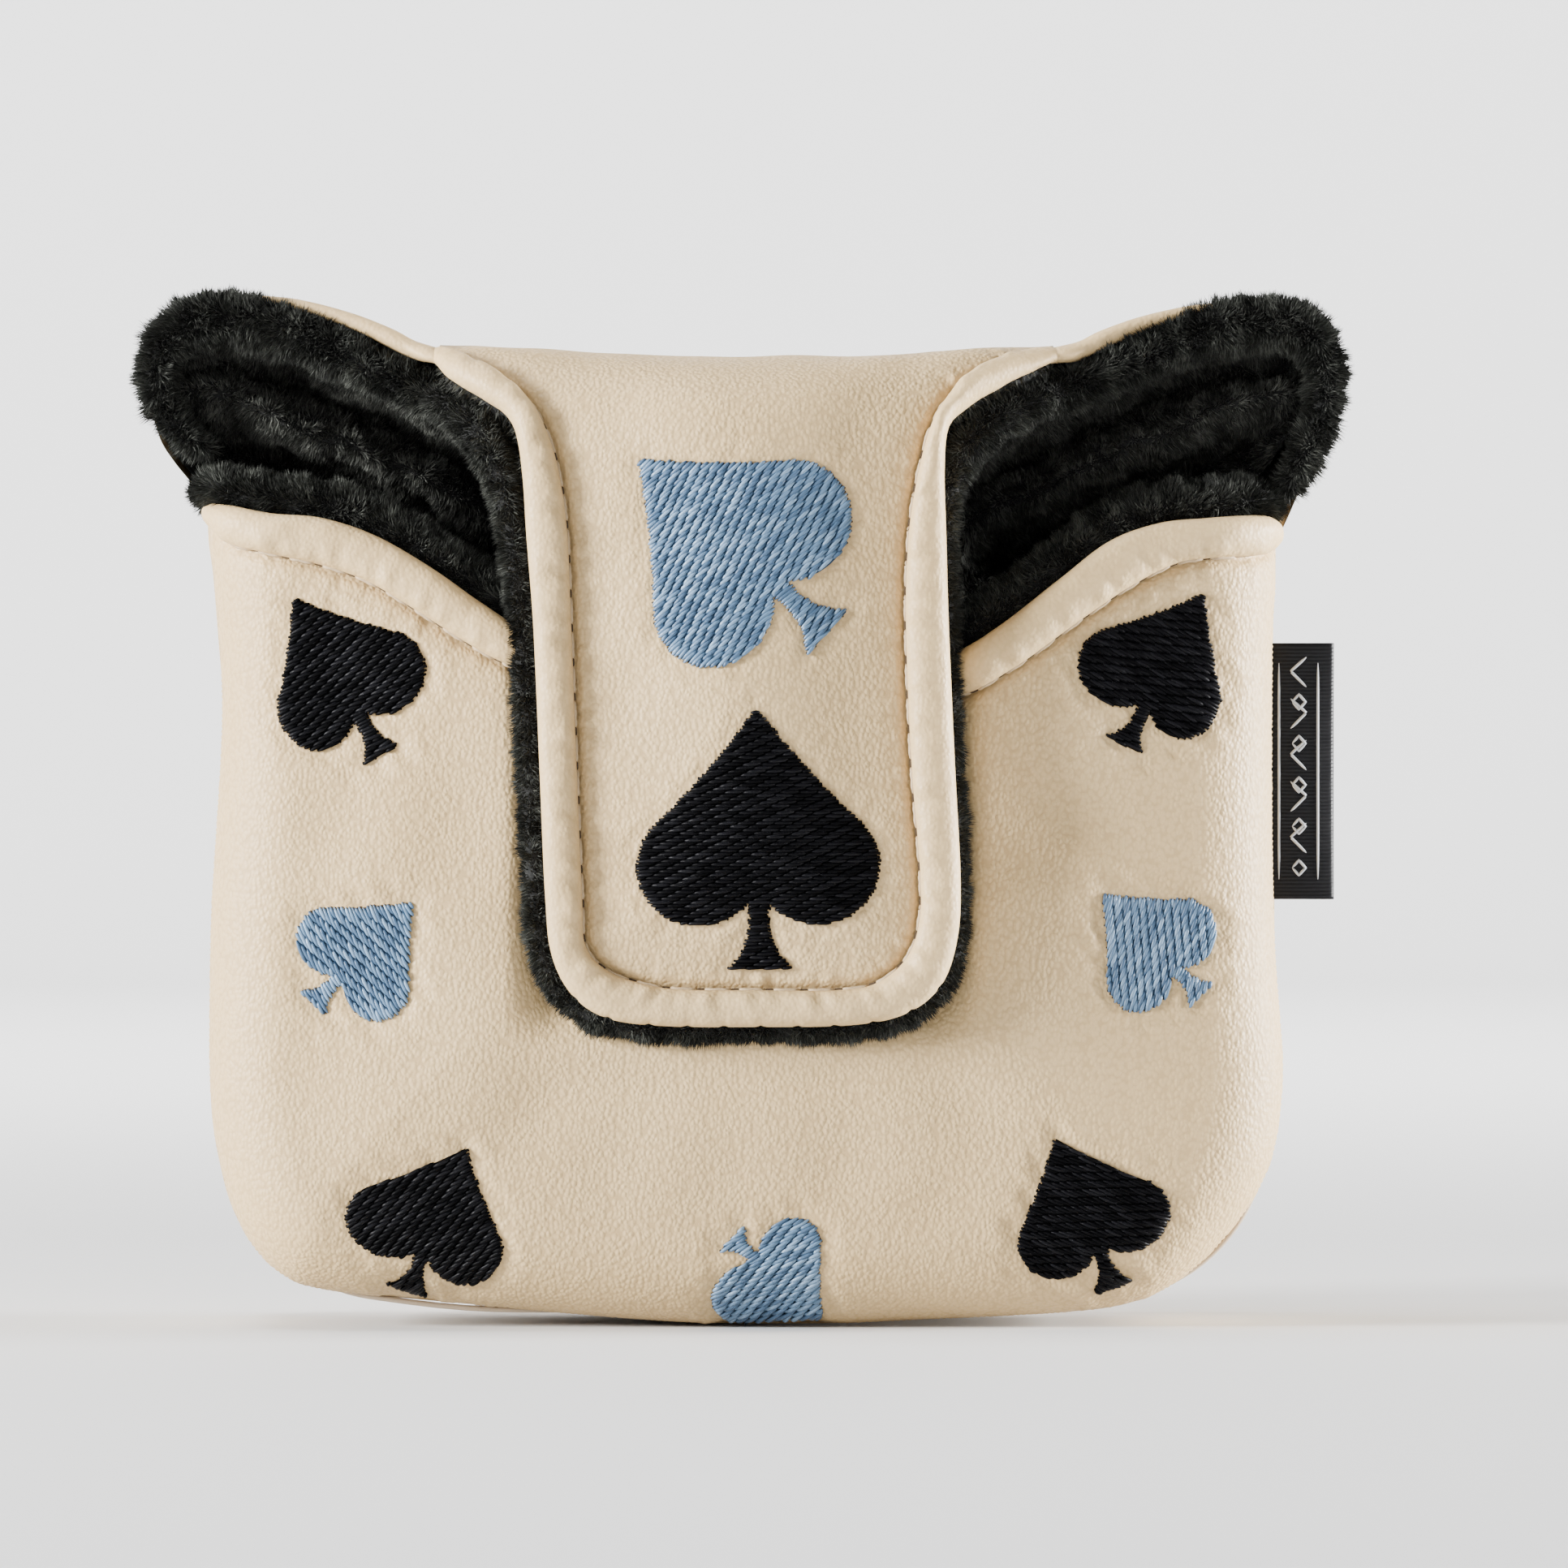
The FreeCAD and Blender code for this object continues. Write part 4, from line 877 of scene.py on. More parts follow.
def body_sheet(top_line, side_round):
    """Flat places and triangles of a panel that reaches the seam all round, below a top line."""
    top = top_line[np.argsort(-top_line[:, 0])]
    left_top, right_top = top[-1], top[0]
    middle = EDGE[:, 0] < 0
    part = EDGE[(middle & (EDGE[:, 1] < left_top[1] - 0.3)) | (~middle & (EDGE[:, 1] < right_top[1] - 0.3))]
    border = np.vstack([part, top])
    angles = np.arange(1, int(side_round * PI / 2 / SHEET_STEP)) * SHEET_STEP / side_round
    rings = rings_inside(EDGE, side_round * (1 - np.cos(angles)), SHEET_STEP * 1.15)
    middle_places = honeycomb((-70, 0), (70, 105), SHEET_STEP * 1.08)
    gap, _ = distance_to(EDGE, middle_places)
    middle_places = middle_places[gap > side_round * 0.97]
    return filled(border, np.vstack([rings, middle_places]), 0.02)


def build_front_leather():
    top = divide(FRONT_CREASE * 0.5 + FRONT_LIP * 0.5, SHEET_STEP)
    places, faces = body_sheet(top, FRONT_ROUND)
    from_seam, nearest = distance_to(EDGE, places)
    sunk = spade_pull(places) + crease_pull(places, FRONT_CREASE, 11)
    body = on_front(places, -sunk)
    tuck = seam_tuck(places, from_seam, nearest, FRONT_ROUND)
    body[:, 0] += tuck[:, 0]
    body[:, 2] += tuck[:, 1]
    piece = make("front_leather", body, faces, [LEATHER_SKIN])
    thicken(piece, LEATHER)
    return piece


def front_pulled(points, height=0.0):
    """The front as the embroidery and stitches see it, with the leather sunk at the spades."""
    return on_front(points, np.asarray(height) - spade_pull(points))


def flap_pulled(points, height=0.0):
    return on_flap(points, np.asarray(height) + flap_puff(points) - flap_spade_pull(points))


def build_gusset():
    line = EDGE[EDGE[:, 1] < 100.6]
    way = unit(np.gradient(line, axis=0))
    outward = np.stack([way[:, 1], -way[:, 0]], axis=1)
    wide = BACK_SEAM_Y - FRONT_SEAM_Y
    across = np.linspace(0, wide, 34)
    from_seam = np.minimum(across, wide - across)
    places = np.stack(np.broadcast_arrays(line[:, None, 0], across[None], line[:, None, 1]), axis=-1)
    side = ease((line[:, 1] - 2.5) / 8)[:, None]
    swell = (-0.5 * np.sin(PI * across / wide)[None] + 0.12 * ripple(places, 15, 31)) * side
    folds = 0.5 * ease((line[:, 1] - 82) / 16)[:, None] * ripple(places * (1, 0.3, 1), 6.0, 33)
    out = swell + folds * np.sin(PI * across / wide)[None] - 0.15 * np.exp(-from_seam / 0.6)[None]
    out = np.minimum(out, 0.15 + 2 * side)
    grid = np.stack(np.broadcast_arrays(line[:, None, 0] + outward[:, None, 0] * out, FRONT_SEAM_Y + across[None],
                                        line[:, None, 1] + outward[:, None, 1] * out), axis=-1)
    piece = make("gusset_leather", grid, grid_faces(*grid.shape[:2]), [LEATHER_SKIN])
    if np.einsum("ij,ij->i", normals_of(grid)[:, 17], np.stack([outward[:, 0], 0 * outward[:, 0], outward[:, 1]],
                                                                axis=1)).mean() < 0:
        piece.data.flip_normals()
    thicken(piece, LEATHER)
    return piece


def back_depth(places, from_seam):
    round_share = np.clip(from_seam / BACK_ROUND, 0, 1)
    y = BACK_SEAM_Y + BACK_ROUND * np.sqrt(np.clip(1 - (1 - round_share) ** 2, 0, 1))
    inner = ease((from_seam - 3) / 16) * ease((100 - places[:, 1]) / 18)
    return y + (1.2 * ease(from_seam / 34) + 0.3 * ripple(places, 34, 61) + 0.12 * ripple(places, 11, 62)) * inner


def build_back_leather():
    top = np.stack([np.linspace(65.4, -65.4, 220), np.full(220, 100.4)], axis=1)
    limit = np.interp(100.4, EDGE[:60, 1][::-1], EDGE[:60, 0][::-1]), np.interp(100.4, EDGE[-60:, 1], EDGE[-60:, 0])
    top = top[(top[:, 0] > limit[0] + 0.05) & (top[:, 0] < limit[1] - 0.05)]
    places, faces = body_sheet(top, BACK_ROUND)
    from_seam, nearest = distance_to(EDGE, places)
    tuck = seam_tuck(places, from_seam, nearest, BACK_ROUND)
    body = np.stack([places[:, 0] + tuck[:, 0], back_depth(places, from_seam), places[:, 1] + tuck[:, 1]], axis=1)
    piece = make("back_leather", body, faces[:, ::-1], [LEATHER_SKIN])
    thicken(piece, LEATHER)
    return piece


# ---- the ears ------------------------------------------------------------------------------------

# From the side up and over to the roof, seen from the front: front edge x, z and its depth.
LEFT_EAR_FRONT = [
    (-65.0, 99.2, -6.5), (-67.9, 102.9, -7.6), (-70.6, 106.6, -8.2), (-71.8, 110.8, -8.2), (-71.9, 115.0, -8.2),
    (-71.0, 119.2, -8.4), (-68.4, 122.2, -8.5), (-65.0, 123.8, -8.6), (-61.0, 124.3, -8.8), (-56.0, 123.7, -9.6),
    (-51.0, 122.7, -10.6), (-46.0, 120.6, -12.0), (-41.0, 118.7, -13.4), (-37.5, 117.5, -14.0), (-35.8, 117.3, -14.2),
]
RIGHT_EAR_FRONT = [
    (64.6, 96.0, -6.5), (66.6, 100.4, -7.0), (68.6, 105.2, -7.6), (69.9, 109.8, -8.0), (70.4, 114.6, -8.2),
    (69.8, 118.6, -8.4), (67.6, 121.4, -8.5), (64.4, 122.9, -8.6), (60.0, 123.0, -8.8), (55.0, 121.9, -9.6),
    (50.0, 120.5, -10.6), (45.0, 119.0, -12.0), (41.0, 118.0, -13.4), (37.5, 117.4, -14.0), (35.8, 117.2, -14.2),
]
EAR_BACK = [
    (65.0, 99.2), (66.3, 103.0), (68.0, 108.0), (68.3, 113.0), (66.8, 117.6), (63.0, 120.9), (57.5, 121.9),
    (51.0, 121.1), (45.0, 119.4), (40.8, 118.3), (37.5, 117.9), (35.8, 117.7),
]
# The plush turned over each ear's edge, from the roof round to the side: x, y, z and radius.
LEFT_EAR_ROLL = [
    (-35.8, -13.4, 111.2, 2.1), (-45.8, -11.8, 115.9, 2.2), (-54.2, -10.6, 119.5, 2.5), (-61.4, -10.0, 121.3, 2.7),
    (-66.8, -9.8, 120.8, 2.5), (-70.1, -9.6, 117.9, 2.1), (-71.1, -9.4, 114.3, 1.8), (-70.3, -9.2, 110.9, 1.5),
    (-68.6, -8.8, 108.3, 1.3), (-66.6, -8.2, 106.7, 1.2), (-64.4, -7.0, 105.6, 0.9),
]
RIGHT_EAR_ROLL = [
    (35.8, -13.4, 111.6, 2.1), (45.0, -11.6, 115.9, 2.3), (52.5, -10.6, 119.0, 2.5), (60.0, -10.0, 120.8, 2.6),
    (65.8, -9.8, 120.5, 2.5), (68.9, -9.6, 117.9, 2.1), (69.8, -9.4, 113.9, 1.8), (69.2, -9.2, 109.9, 1.6),
    (67.7, -8.9, 105.8, 1.5), (65.8, -8.5, 102.2, 1.4), (64.7, -8.0, 100.2, 1.0),
]
# The plush folds inside the left ear, from the top down, each from the side towards the flap.
EAR_FOLDS = [
    [(-69.9, -5.6, 116.6), (-62.0, -6.0, 118.6), (-54.0, -6.0, 117.0), (-45.0, -7.0, 113.0), (-36.0, -9.0, 109.4),
     (-27.0, -10.0, 104.5)],
    [(-70.0, -5.6, 114.8), (-62.0, -0.5, 115.4), (-54.0, 2.5, 113.2), (-45.0, 3.5, 109.4), (-36.0, 4.0, 105.4),
     (-27.0, 4.0, 101.0)],
    [(-69.9, -5.6, 112.9), (-62.0, -8.6, 111.4), (-54.0, -8.8, 108.4), (-45.0, -7.6, 104.8), (-36.0, -5.0, 100.8),
     (-27.0, -3.0, 96.8)],
    [(-69.3, -5.4, 110.6), (-63.0, -1.0, 107.2), (-54.0, 5.0, 103.2), (-45.0, 8.0, 99.4), (-36.0, 9.0, 94.8),
     (-27.0, 9.0, 90.0)],
    [(-67.6, -4.8, 107.8), (-63.2, -3.0, 103.0), (-54.0, 3.0, 98.0), (-45.0, 5.0, 94.0), (-36.0, 6.0, 88.0),
     (-27.0, 6.0, 82.0)],
]


# Middle of the ear's rolled edge from the roof to where it runs out under the plush: x, y, z, radius.
EAR_EDGE = [(39.6, -13.8, 117.3, 1.30), (42.6, -13.2, 118.85, 1.24), (47.5, -12.0, 121.0, 1.02),
            (54.0, -10.6, 123.0, 0.72), (60.0, -9.4, 124.0, 0.35)]


def ear_roll(end_ring, side):
    """The rolled edge carried on from the end of the flap's, thinning out along the ear."""
    centre = end_ring.mean(0)
    spokes = end_ring - centre
    drop = -0.9 if side > 0 else 0.0
    size = np.linalg.norm(spokes, axis=1).mean()
    rows = [(*centre, size)] + [(side * x, y, z + drop * (x - 37) / 23, r) for x, y, z, r in EAR_EDGE]
    line = through(rows, step=0.5)
    turned = ease(lengths_along(line[:, :3]) / 4.5)[:, None, None]
    rings = spokes[None] * (1 - turned) + unit(spokes)[None] * line[:, None, 3:] * turned
    return outward_grid(line[:, None, :3] + rings)


def build_ear_leather(side, front_edge, end_ring):
    name = "right" if side > 0 else "left"
    rows = 130
    front = through(front_edge, count=rows)
    back = through([(side * x, z) for x, z in EAR_BACK], count=rows)
    foot = np.stack([np.linspace(side * 52.9, side * 35.8, rows), np.full(rows, 99.6)], axis=1)
    along = np.linspace(0, 1, rows)[:, None]
    share = np.linspace(0, 1, 40)[None, :]
    y_first = front[:, 2:] + (BACK_SEAM_Y - front[:, 2:]) * share
    first = front[:, None, :2] * (1 - share[..., None]) + back[:, None] * share[..., None]
    way = unit(np.gradient(back, axis=0)) * side
    outward = np.stack([-way[:, 1], way[:, 0]], axis=1)[:, None]
    swell = (1.3 * np.sin(PI * share) * np.sin(PI * np.clip(along, 0, 1))
             + 0.7 * ripple(np.stack([first[..., 0], y_first * 0.35, first[..., 1]], axis=-1), 8.0, 71 + side)
             * ease(along * 8) * ease((0.86 - along) * 6) * np.sin(PI * share * 0.92 + 0.12))
    first = first + outward * swell[..., None]
    run = foot - back
    long = np.linalg.norm(run, axis=1, keepdims=True)
    turn = np.linspace(0, PI / 2, 24)[None, 1:]
    straight = np.linspace(0, 1, 12)[None, 1:]
    travelled = np.concatenate([BACK_ROUND * (1 - np.cos(turn)) + 0 * along,
                                BACK_ROUND + (long - BACK_ROUND) * straight], axis=1)
    y_second = np.concatenate([BACK_SEAM_Y + BACK_ROUND * np.sin(turn) + 0 * along, BACK_Y + 0 * (along + straight)],
                              axis=1)
    second = back[:, None] + run[:, None] / long[:, None] * travelled[..., None]
    plane = np.concatenate([first, second], axis=1)
    depth = np.concatenate([y_first, y_second], axis=1)
    grid = np.stack([plane[..., 0], depth, plane[..., 1]], axis=-1)
    grid[:, -4:, 1] -= np.array([0.15, 0.4, 0.8, 1.3])
    under = ease((37.5 - np.abs(grid[..., 0])) / 1.0)
    grid[..., 2] -= 1.4 * under
    grid[..., 1] -= 1.4 * under * ease((grid[..., 1] - 13) / 8)
    middle = normals_of(grid)[rows // 2, 20]
    if middle[2] < 0:
        grid = grid[::-1]
    edge_roll = ear_roll(end_ring, side)
    inside = grid - 0.7 * normals_of(grid)
    points, faces, slots = merged([(grid, grid_faces(*grid.shape[:2]), 0), (edge_roll, closed_faces(edge_roll), 1),
                                   (inside, grid_faces(*grid.shape[:2])[:, ::-1], 2)])
    return make(f"{name}_ear_leather", points, faces, [LEATHER_SKIN, ROLL_SKIN, BACKING], slots)


def build_ear_folds(side):
    name = "right" if side > 0 else "left"
    lines = [through([(-0.978 * x, y, z) if side > 0 else (x, y, z) for x, y, z in fold], count=70)
             for fold in EAR_FOLDS]
    columns = [through(column, count=44) for column in np.stack(lines, axis=1)]
    grid = np.stack(columns)
    grid = grid + 0.5 * np.stack([ripple(grid, 9.0, 80 + axis) for axis in range(3)], axis=-1)
    flipped = normals_of(grid)[35, 22][1] > 0
    # The folds wear the lit copy of the pile: painted light inside the ears.
    return furry(f"{name}_ear_plush", [(grid, False)], 34.0, 1.5, 0.24, LIT_INNER_PILE, 90 + side, (0.2 * side, -0.2, -0.35),
                 0.20, reverse=(0,) if flipped else ())


def build_ear_rim(side, rows):
    name = "right" if side > 0 else "left"
    grid = soft_tube(rows, 1.15)
    return furry(f"{name}_ear_rim_plush", [(grid, True)], 48.0, 1.9, 0.24, PILE, 100 + side, (0, -0.2, -0.1), 0.22)


# ---- linings -------------------------------------------------------------------------------------

def build_front_lining():
    lip = divide(FRONT_LIP, 1.2)
    y = front_y(lip)
    rows = np.stack([lip[:, 0] * 1.006, y + 5.4, lip[:, 1] + 1.5, np.full(len(lip), 2.7)], axis=1)
    band = soft_tube(rows[::3], 1.25, 0.9, 18)
    x = np.linspace(-58.5, 58.5, 60)
    z = np.linspace(0, 1, 46)
    top = np.interp(x, lip[:, 0], lip[:, 1])
    low = 7.0 + 12 * ease((np.abs(x) - 40) / 18)
    height = low + (top - low) * z[:, None]
    curve = 3.2 * ease((np.abs(x) - 46) / 13)[None] + 3.0 * ease((9 - (height - low)) / 9)
    sheet = np.stack(np.broadcast_arrays(x[None], -11.4 + curve + 0.3 * ripple(
        np.stack([x[None] + 0 * height, height], axis=-1), 12, 5), height), axis=-1)
    flipped = normals_of(sheet)[20, 30][1] < 0
    piece = furry("front_lining_plush", [(band, True)], 40.0, 1.7, 0.24, PILE, 110, (0, -0.2, 0.1), 0.22)
    inner = furry("front_lining_inside", [(sheet, False)], 2.6, 2.2, 0.6, PILE, 111, (0, 0, -0.4), 0.3,
                  reverse=(0,) if flipped else ())
    return piece, inner


def build_gusset_lining():
    line = divide(EDGE[EDGE[:, 1] < 99], 2.2)
    way = unit(np.gradient(line, axis=0))
    inset = line + 5.6 * np.stack([-way[:, 1], way[:, 0]], axis=1)
    across = np.linspace(FRONT_SEAM_Y - 1, BACK_SEAM_Y + 2, 12)
    grid = np.stack(np.broadcast_arrays(inset[:, None, 0], across[None], inset[:, None, 1]), axis=-1)
    inward = normals_of(grid)[len(grid) // 2, 6][2] > 0
    return furry("gusset_lining_plush", [(grid, False)], 2.6, 2.2, 0.6, PILE, 120, (0, 0, -0.3), 0.3,
                 reverse=() if inward else (0,))


def build_back_lining():
    x = np.linspace(-58.5, 58.5, 60)
    z = np.linspace(0, 1, 50)[:, None]
    low = 7.0 + 12 * ease((np.abs(x) - 40) / 18)
    height = low + (104.0 - low) * z
    curve = 5.0 * ease((np.abs(x) - 44) / 15)[None] + 3.5 * ease((9 - (height - low)) / 9)
    grid = np.stack(np.broadcast_arrays(x[None], 19.6 - curve + 0.4 * ripple(
        np.stack([x[None] + 0 * height, height], axis=-1), 14, 6), height), axis=-1)
    flipped = normals_of(grid)[20, 30][1] > 0
    return furry("back_lining_plush", [(grid, False)], 2.6, 2.2, 0.6, PILE, 130, (0, 0, -0.4), 0.3,
                 reverse=(0,) if flipped else ())


# ---- the flap and roof ---------------------------------------------------------------------------


def build_flap_leather():
    crease = divide(FLAP_CREASE, SHEET_STEP)
    out_edge = divide(FLAP_CREASE * 0.5 + FLAP_LIP * 0.5, SHEET_STEP)
    side_up = np.arange(out_edge[-1, 1] + 0.6, BACK_DOWN + 4.4, SHEET_STEP)
    right = np.stack([np.full(len(side_up), ROOF_HALF), side_up], axis=1)
    top_x = np.arange(ROOF_HALF - 0.6, -ROOF_HALF, -SHEET_STEP)
    top = np.stack([top_x, np.full(len(top_x), BACK_DOWN + 4.6)], axis=1)
    side_down = np.arange(BACK_DOWN + 4.4, out_edge[0, 1] + 0.4, -SHEET_STEP)
    left = np.stack([np.full(len(side_down), -ROOF_HALF), side_down], axis=1)
    border = np.vstack([out_edge, right, top, left])
    places, faces = filled(border, honeycomb((-38, 0), (38, BACK_DOWN + 5), SHEET_STEP), 0.25)
    height = flap_puff(places) - flap_spade_pull(places) - crease_pull(places, crease, 41, 1.0)
    height = height - 0.5 * ease((places[:, 1] - BACK_DOWN - 2.4) / 2.0)
    piece = make("roof_flap_leather", on_flap(places, height), faces, [LEATHER_SKIN])
    thicken(piece, LEATHER)
    return piece


def build_flap_lining():
    lip = divide(FLAP_LIP, 0.8)
    low = lip[:, 1].argmin()
    left, right = lip[:low][::-1], lip[low:]
    t = np.linspace(1.0, BACK_DOWN + 8.0, 126)
    left_x = np.where(t > left[-1, 1], -36.4, np.interp(t, left[:, 1], left[:, 0]) + 0.8)
    right_x = np.where(t > right[-1, 1], 36.4, np.interp(t, right[:, 1], right[:, 0]) - 0.8)
    share = np.linspace(0, 1, 44)[None]
    x = left_x[:, None] * (1 - share) + right_x[:, None] * share
    x = np.concatenate([x[:, :1], x[:, :1], x, x[:, -1:], x[:, -1:]], axis=1)
    turned_up = np.concatenate([[5.2, 2.7], np.zeros(share.size), [2.7, 5.2]])
    places = np.stack([x, np.broadcast_to(t[:, None], x.shape)], axis=-1)
    grid = on_flap(places, -6.3 + turned_up + 0.25 * ripple(places, 10, 44))
    flipped = normals_of(grid)[20, 24][1] < 0
    return furry("flap_lining_plush", [(grid, False)], 7.0, 1.5, 0.45, PILE, 140, (0, 0, -0.5), 0.3,
                 reverse=(0,) if flipped else ())


# The plush edge round the flap, from the roof's left end round the tip: x, y, z and radius.
FLAP_BORDER = [
    (-38.6, -13.6, 112.4, 2.3), (-34.2, -16.2, 109.8, 2.3), (-31.6, -18.6, 106.8, 2.2), (-29.4, -20.0, 102.2, 1.9),
    (-28.0, -20.4, 96.0, 1.5), (-27.0, -20.4, 88.0, 1.3), (-26.5, -20.4, 80.0, 1.3), (-25.7, -20.4, 66.0, 1.3),
    (-24.9, -20.4, 51.0, 1.3), (-24.2, -20.4, 45.0, 1.3), (-21.8, -20.4, 40.4, 1.3), (-17.2, -20.4, 37.3, 1.3),
    (-10.0, -20.4, 36.3, 1.3), (1.0, -20.4, 36.2, 1.3), (12.0, -20.4, 36.4, 1.3), (18.9, -20.4, 37.9, 1.3),
    (23.2, -20.4, 41.6, 1.2), (24.8, -20.4, 46.6, 1.2), (25.0, -20.4, 52.0, 1.2), (24.3, -20.4, 68.0, 1.2),
    (23.7, -20.4, 84.0, 1.2), (23.5, -20.4, 95.0, 1.3), (24.2, -20.2, 101.0, 1.6), (26.8, -19.2, 106.0, 2.0),
    (31.2, -16.8, 109.8, 2.2), (38.6, -13.6, 113.0, 2.3),
]


def build_flap_border():
    grid = soft_tube(FLAP_BORDER, 1.5, 0.8, 16)
    return furry("flap_border_plush", [(grid, True)], 42.0, 1.5, 0.22, PILE, 150, (0, -0.1, -0.1), 0.24)


# ---- the side label ------------------------------------------------------------------------------

LABEL_LOW_Z, LABEL_HIGH_Z = 51.5, 82.4
LABEL_OUT_X = 70.9
LABEL_IN_X = 62.6
LABEL_Y = -7.0


def label_place(along, z, out=0.0):
    """A place on the folded label: along runs from one sewn end, round the fold, to the other."""
    reach = LABEL_OUT_X - LABEL_IN_X - 0.45
    turn = np.clip((along - reach) / 0.45, 0, PI)
    back = np.maximum(along - reach - 0.45 * PI, 0)
    x = LABEL_IN_X + np.minimum(along, reach) + 0.45 * np.sin(turn) - back
    y = LABEL_Y - 0.45 * np.cos(turn)
    bow = 0.9 * ((x - LABEL_IN_X) / 8) ** 2 * np.sin((z - LABEL_LOW_Z) / 30.9 * 2.6 + 0.4)
    gape = 0.35 * np.sin(PI * np.clip((x - LABEL_IN_X) / 8.3, 0, 1)) * -np.cos(turn)
    return np.stack([x - out * np.sin(turn) * -1, y + bow + gape - out * np.cos(turn), z], axis=-1)


def build_label():
    long = 2 * (LABEL_OUT_X - LABEL_IN_X - 0.45) + 0.45 * PI
    along = np.linspace(0, long, 60)
    z = np.linspace(LABEL_LOW_Z, LABEL_HIGH_Z, 90)
    grid = label_place(*np.broadcast_arrays(along[:, None], z[None]))
    piece = make("side_label_satin", grid, grid_faces(60, 90), [SATIN])
    if normals_of(grid)[10, 45][1] > 0:
        piece.data.flip_normals()
    thicken(piece, 0.28)
    parts = []

    def mark(path):
        at = divide(np.array(path, float), 0.3)
        parts.append(tube_parts(label_place(at[:, 0], at[:, 1], 0.06), 0.17, 6))

    for number in range(5):
        low = LABEL_LOW_Z + 3.6 + number * 5.0
        mark([(3.0, low + 2.0), (4.9, low + 3.9), (3.0, low + 5.8 - 0.2)] if number % 2 else
             [(4.9, low + 2.0), (3.0, low + 3.9), (4.9, low + 5.6)])
        mark([(3.2, low + 0.2), (4.0, low + 1.1), (4.8, low + 0.2), (4.0, low - 0.7), (3.2, low + 0.2)])
    mark([(6.3, LABEL_LOW_Z + 2.4), (6.3, LABEL_HIGH_Z - 2.4)])
    mark([(1.6, LABEL_LOW_Z + 2.4), (1.6, LABEL_HIGH_Z - 2.4)])
    points, faces, slots = merged(parts)
    marks = make("side_label_pattern", points, faces, [WOVEN_MARK], slots)
    return piece, marks


# ---- building ------------------------------------------------------------------------------------

def placed(piece, body, slot, *replaced):
    if body == "blend":
        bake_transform(piece)
    else:
        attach(piece, body)
    if replaced:
        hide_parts(*replaced)
    return piece


front_leather = placed(build_front_leather(), "pouch", "leather", "front_panel", "front_foam")
gusset_leather = placed(build_gusset(), "pouch", "leather", "gusset", "gusset_foam")
back_leather = placed(build_back_leather(), "pouch", "leather", "back_panel", "back_foam")

front_roll = roll(FRONT_RAIL, on_front, 1.9, 12, lift=-0.35)
placed(make("front_binding_roll", front_roll, closed_faces(front_roll), [ROLL_SKIN]), "pouch", "leather",
       "front_binding")
placed(topstitching("front_topstitching", FRONT_CREASE[6:-6], on_front, 0.75, 0.17), "pouch", "cream_thread", "front_topstitch")

flap_roll = roll(FLAP_RAIL, on_flap, 1.9, 13, 0.09, (lengths_along(FLAP_LIP * 0.5 + FLAP_CREASE * 0.5)[-1] / 2, 24),
                 lift=-0.15, slim=0.48)
placed(build_ear_leather(-1, LEFT_EAR_FRONT, flap_roll[0]), "pouch", "leather")
placed(build_ear_leather(1, RIGHT_EAR_FRONT, flap_roll[-1]), "pouch", "leather")
placed(build_ear_folds(-1), "pouch", "plush", "left_ear_lining")
placed(build_ear_folds(1), "pouch", "plush", "right_ear_lining")
placed(build_ear_rim(-1, LEFT_EAR_ROLL), "pouch", "plush", "left_ear_rim")
placed(build_ear_rim(1, RIGHT_EAR_ROLL), "pouch", "plush", "right_ear_rim")

front_band, front_inside = build_front_lining()
placed(front_band, "pouch", "plush", "front_lining")
placed(front_inside, "pouch", "plush")
placed(build_gusset_lining(), "pouch", "plush", "gusset_lining")
placed(build_back_lining(), "pouch", "plush", "back_lining")

flap_leather = placed(build_flap_leather(), "blend", "leather", "flap_shell", "flap_foam")
placed(make("flap_binding_roll", flap_roll, closed_faces(flap_roll), [ROLL_SKIN]), "flap", "leather",
       "flap_binding")
placed(topstitching("flap_topstitching", FLAP_CREASE, on_flap, 0.80, 0.20), "flap", "cream_thread", "flap_topstitch")
placed(build_flap_lining(), "blend", "plush", "flap_lining")
placed(build_flap_border(), "flap", "plush")

for number, (name, tip, foot, shades, degrees, body) in enumerate(SPADES):
    line = SPADE_LINES[name] if body == "pouch" else spade_on_flap(SPADE_LINES[name])
    surface = front_pulled if body == "pouch" else flap_pulled
    thread_slot = "blue_thread" if shades is BLUE else "black_thread"
    piece = embroidered(f"{name}_threads", line, surface, shades, degrees, 200 + number)
    placed(piece, body, thread_slot, name)

label, label_pattern = build_label()
placed(label, "pouch", "label_weave", "side_label")
placed(label_pattern, "pouch", "label_weave")

for name, material in (("body_magnets", METAL), ("flap_magnets", METAL), ("front_seam_thread", SEAM_THREAD),
                       ("back_seam_thread", SEAM_THREAD)):
    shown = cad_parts[name]
    for slot in shown.material_slots:
        slot.material = material

# ---- floor, light and camera ---------------------------------------------------------------------


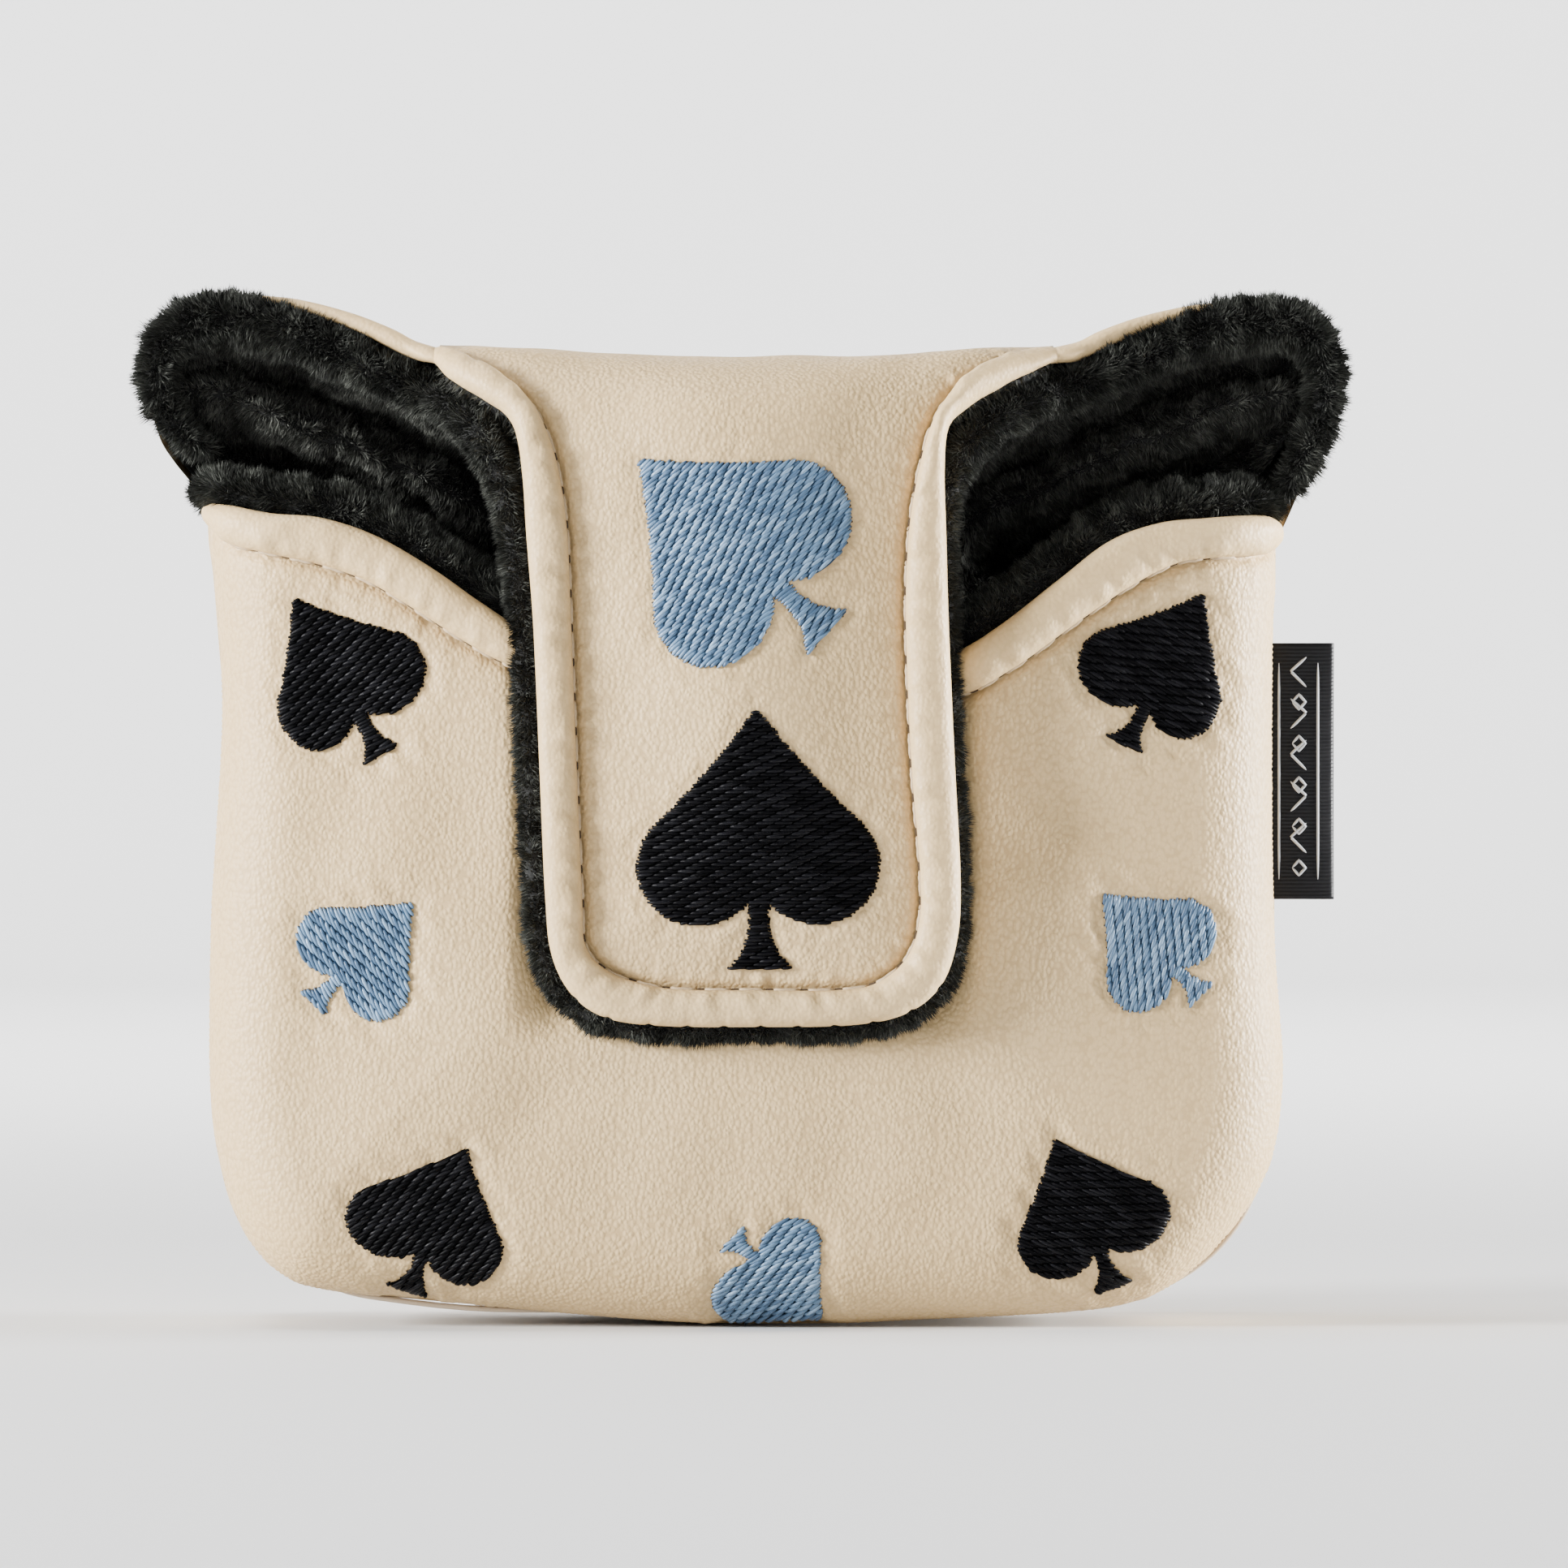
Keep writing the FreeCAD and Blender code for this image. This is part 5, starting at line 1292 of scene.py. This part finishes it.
def pale_stage():
    """A pale round floor that sweeps up into a wall all the way round."""
    material, tree, shader = new_material("pale_floor")
    place = node(tree, "ShaderNodeTexCoord").outputs["Object"]
    tree.links.new(mixed(tree, noise(tree, place, 3.0), (0.66, 0.66, 0.66), (0.68, 0.68, 0.68)),
                   shader.inputs["Base Color"])
    shader.inputs["Roughness"].default_value = 0.9
    shader.inputs["Specular IOR Level"].default_value = 0.1
    bend = np.linspace(0, PI / 2, 24)[1:]
    out = np.concatenate([np.linspace(0, 2000, 40), 2000 + 700 * np.sin(bend), [2700, 2700]])
    z = np.concatenate([np.zeros(40), 700 * (1 - np.cos(bend)), [1500, 2800]])
    turns = np.linspace(0, 2 * PI, 73)
    x, y = out[:, None] * np.cos(turns), out[:, None] * np.sin(turns)
    grid = np.stack(np.broadcast_arrays(x, y, z[:, None]), axis=-1)
    floor = make("pale_stage", grid, grid_faces(*grid.shape[:2]), [material])


def soft_light(name, place, target, size, power):
    data = bpy.data.lights.new(name, "AREA")
    data.shape = "SQUARE"
    data.size = size
    data.energy = power
    lamp = bpy.data.objects.new(name, data)
    lamp.location = place
    lamp.rotation_euler = (Vector(target) - Vector(place)).to_track_quat("-Z", "Y").to_euler()
    bpy.context.scene.collection.objects.link(lamp)


pale_stage()
AIM = (0.0045, -0.017, 0.0654)
soft_light("left", (-1.15, -0.42, 0.32), AIM, 0.35, 62)
soft_light("right", (1.25, 0.12, 0.16), AIM, 0.35, 92)
soft_light("top", (-0.30, 0.02, 1.30), AIM, 0.5, 13)
soft_light("back", (0.0, 0.95, 1.50), (0.0, 2.6, 0.7), 1.6, 120)
world = bpy.data.worlds.new("studio")
world.use_nodes = True
world.node_tree.nodes["Background"].inputs["Color"].default_value = (1.0, 1.0, 1.0, 1)
world.node_tree.nodes["Background"].inputs["Strength"].default_value = 0.012
bpy.context.scene.world = world

VIEW_WIDTH = 0.1876
DISTANCE = 1.15
camera_data = bpy.data.cameras.new("camera")
camera_data.sensor_width = 36
camera_data.lens = 36 * DISTANCE / VIEW_WIDTH
camera_data.clip_end = 20
camera = bpy.data.objects.new("camera", camera_data)
camera.location = (AIM[0], AIM[1] - DISTANCE, AIM[2])
camera.rotation_euler = (PI / 2, 0, 0)
bpy.context.scene.collection.objects.link(camera)
bpy.context.scene.camera = camera
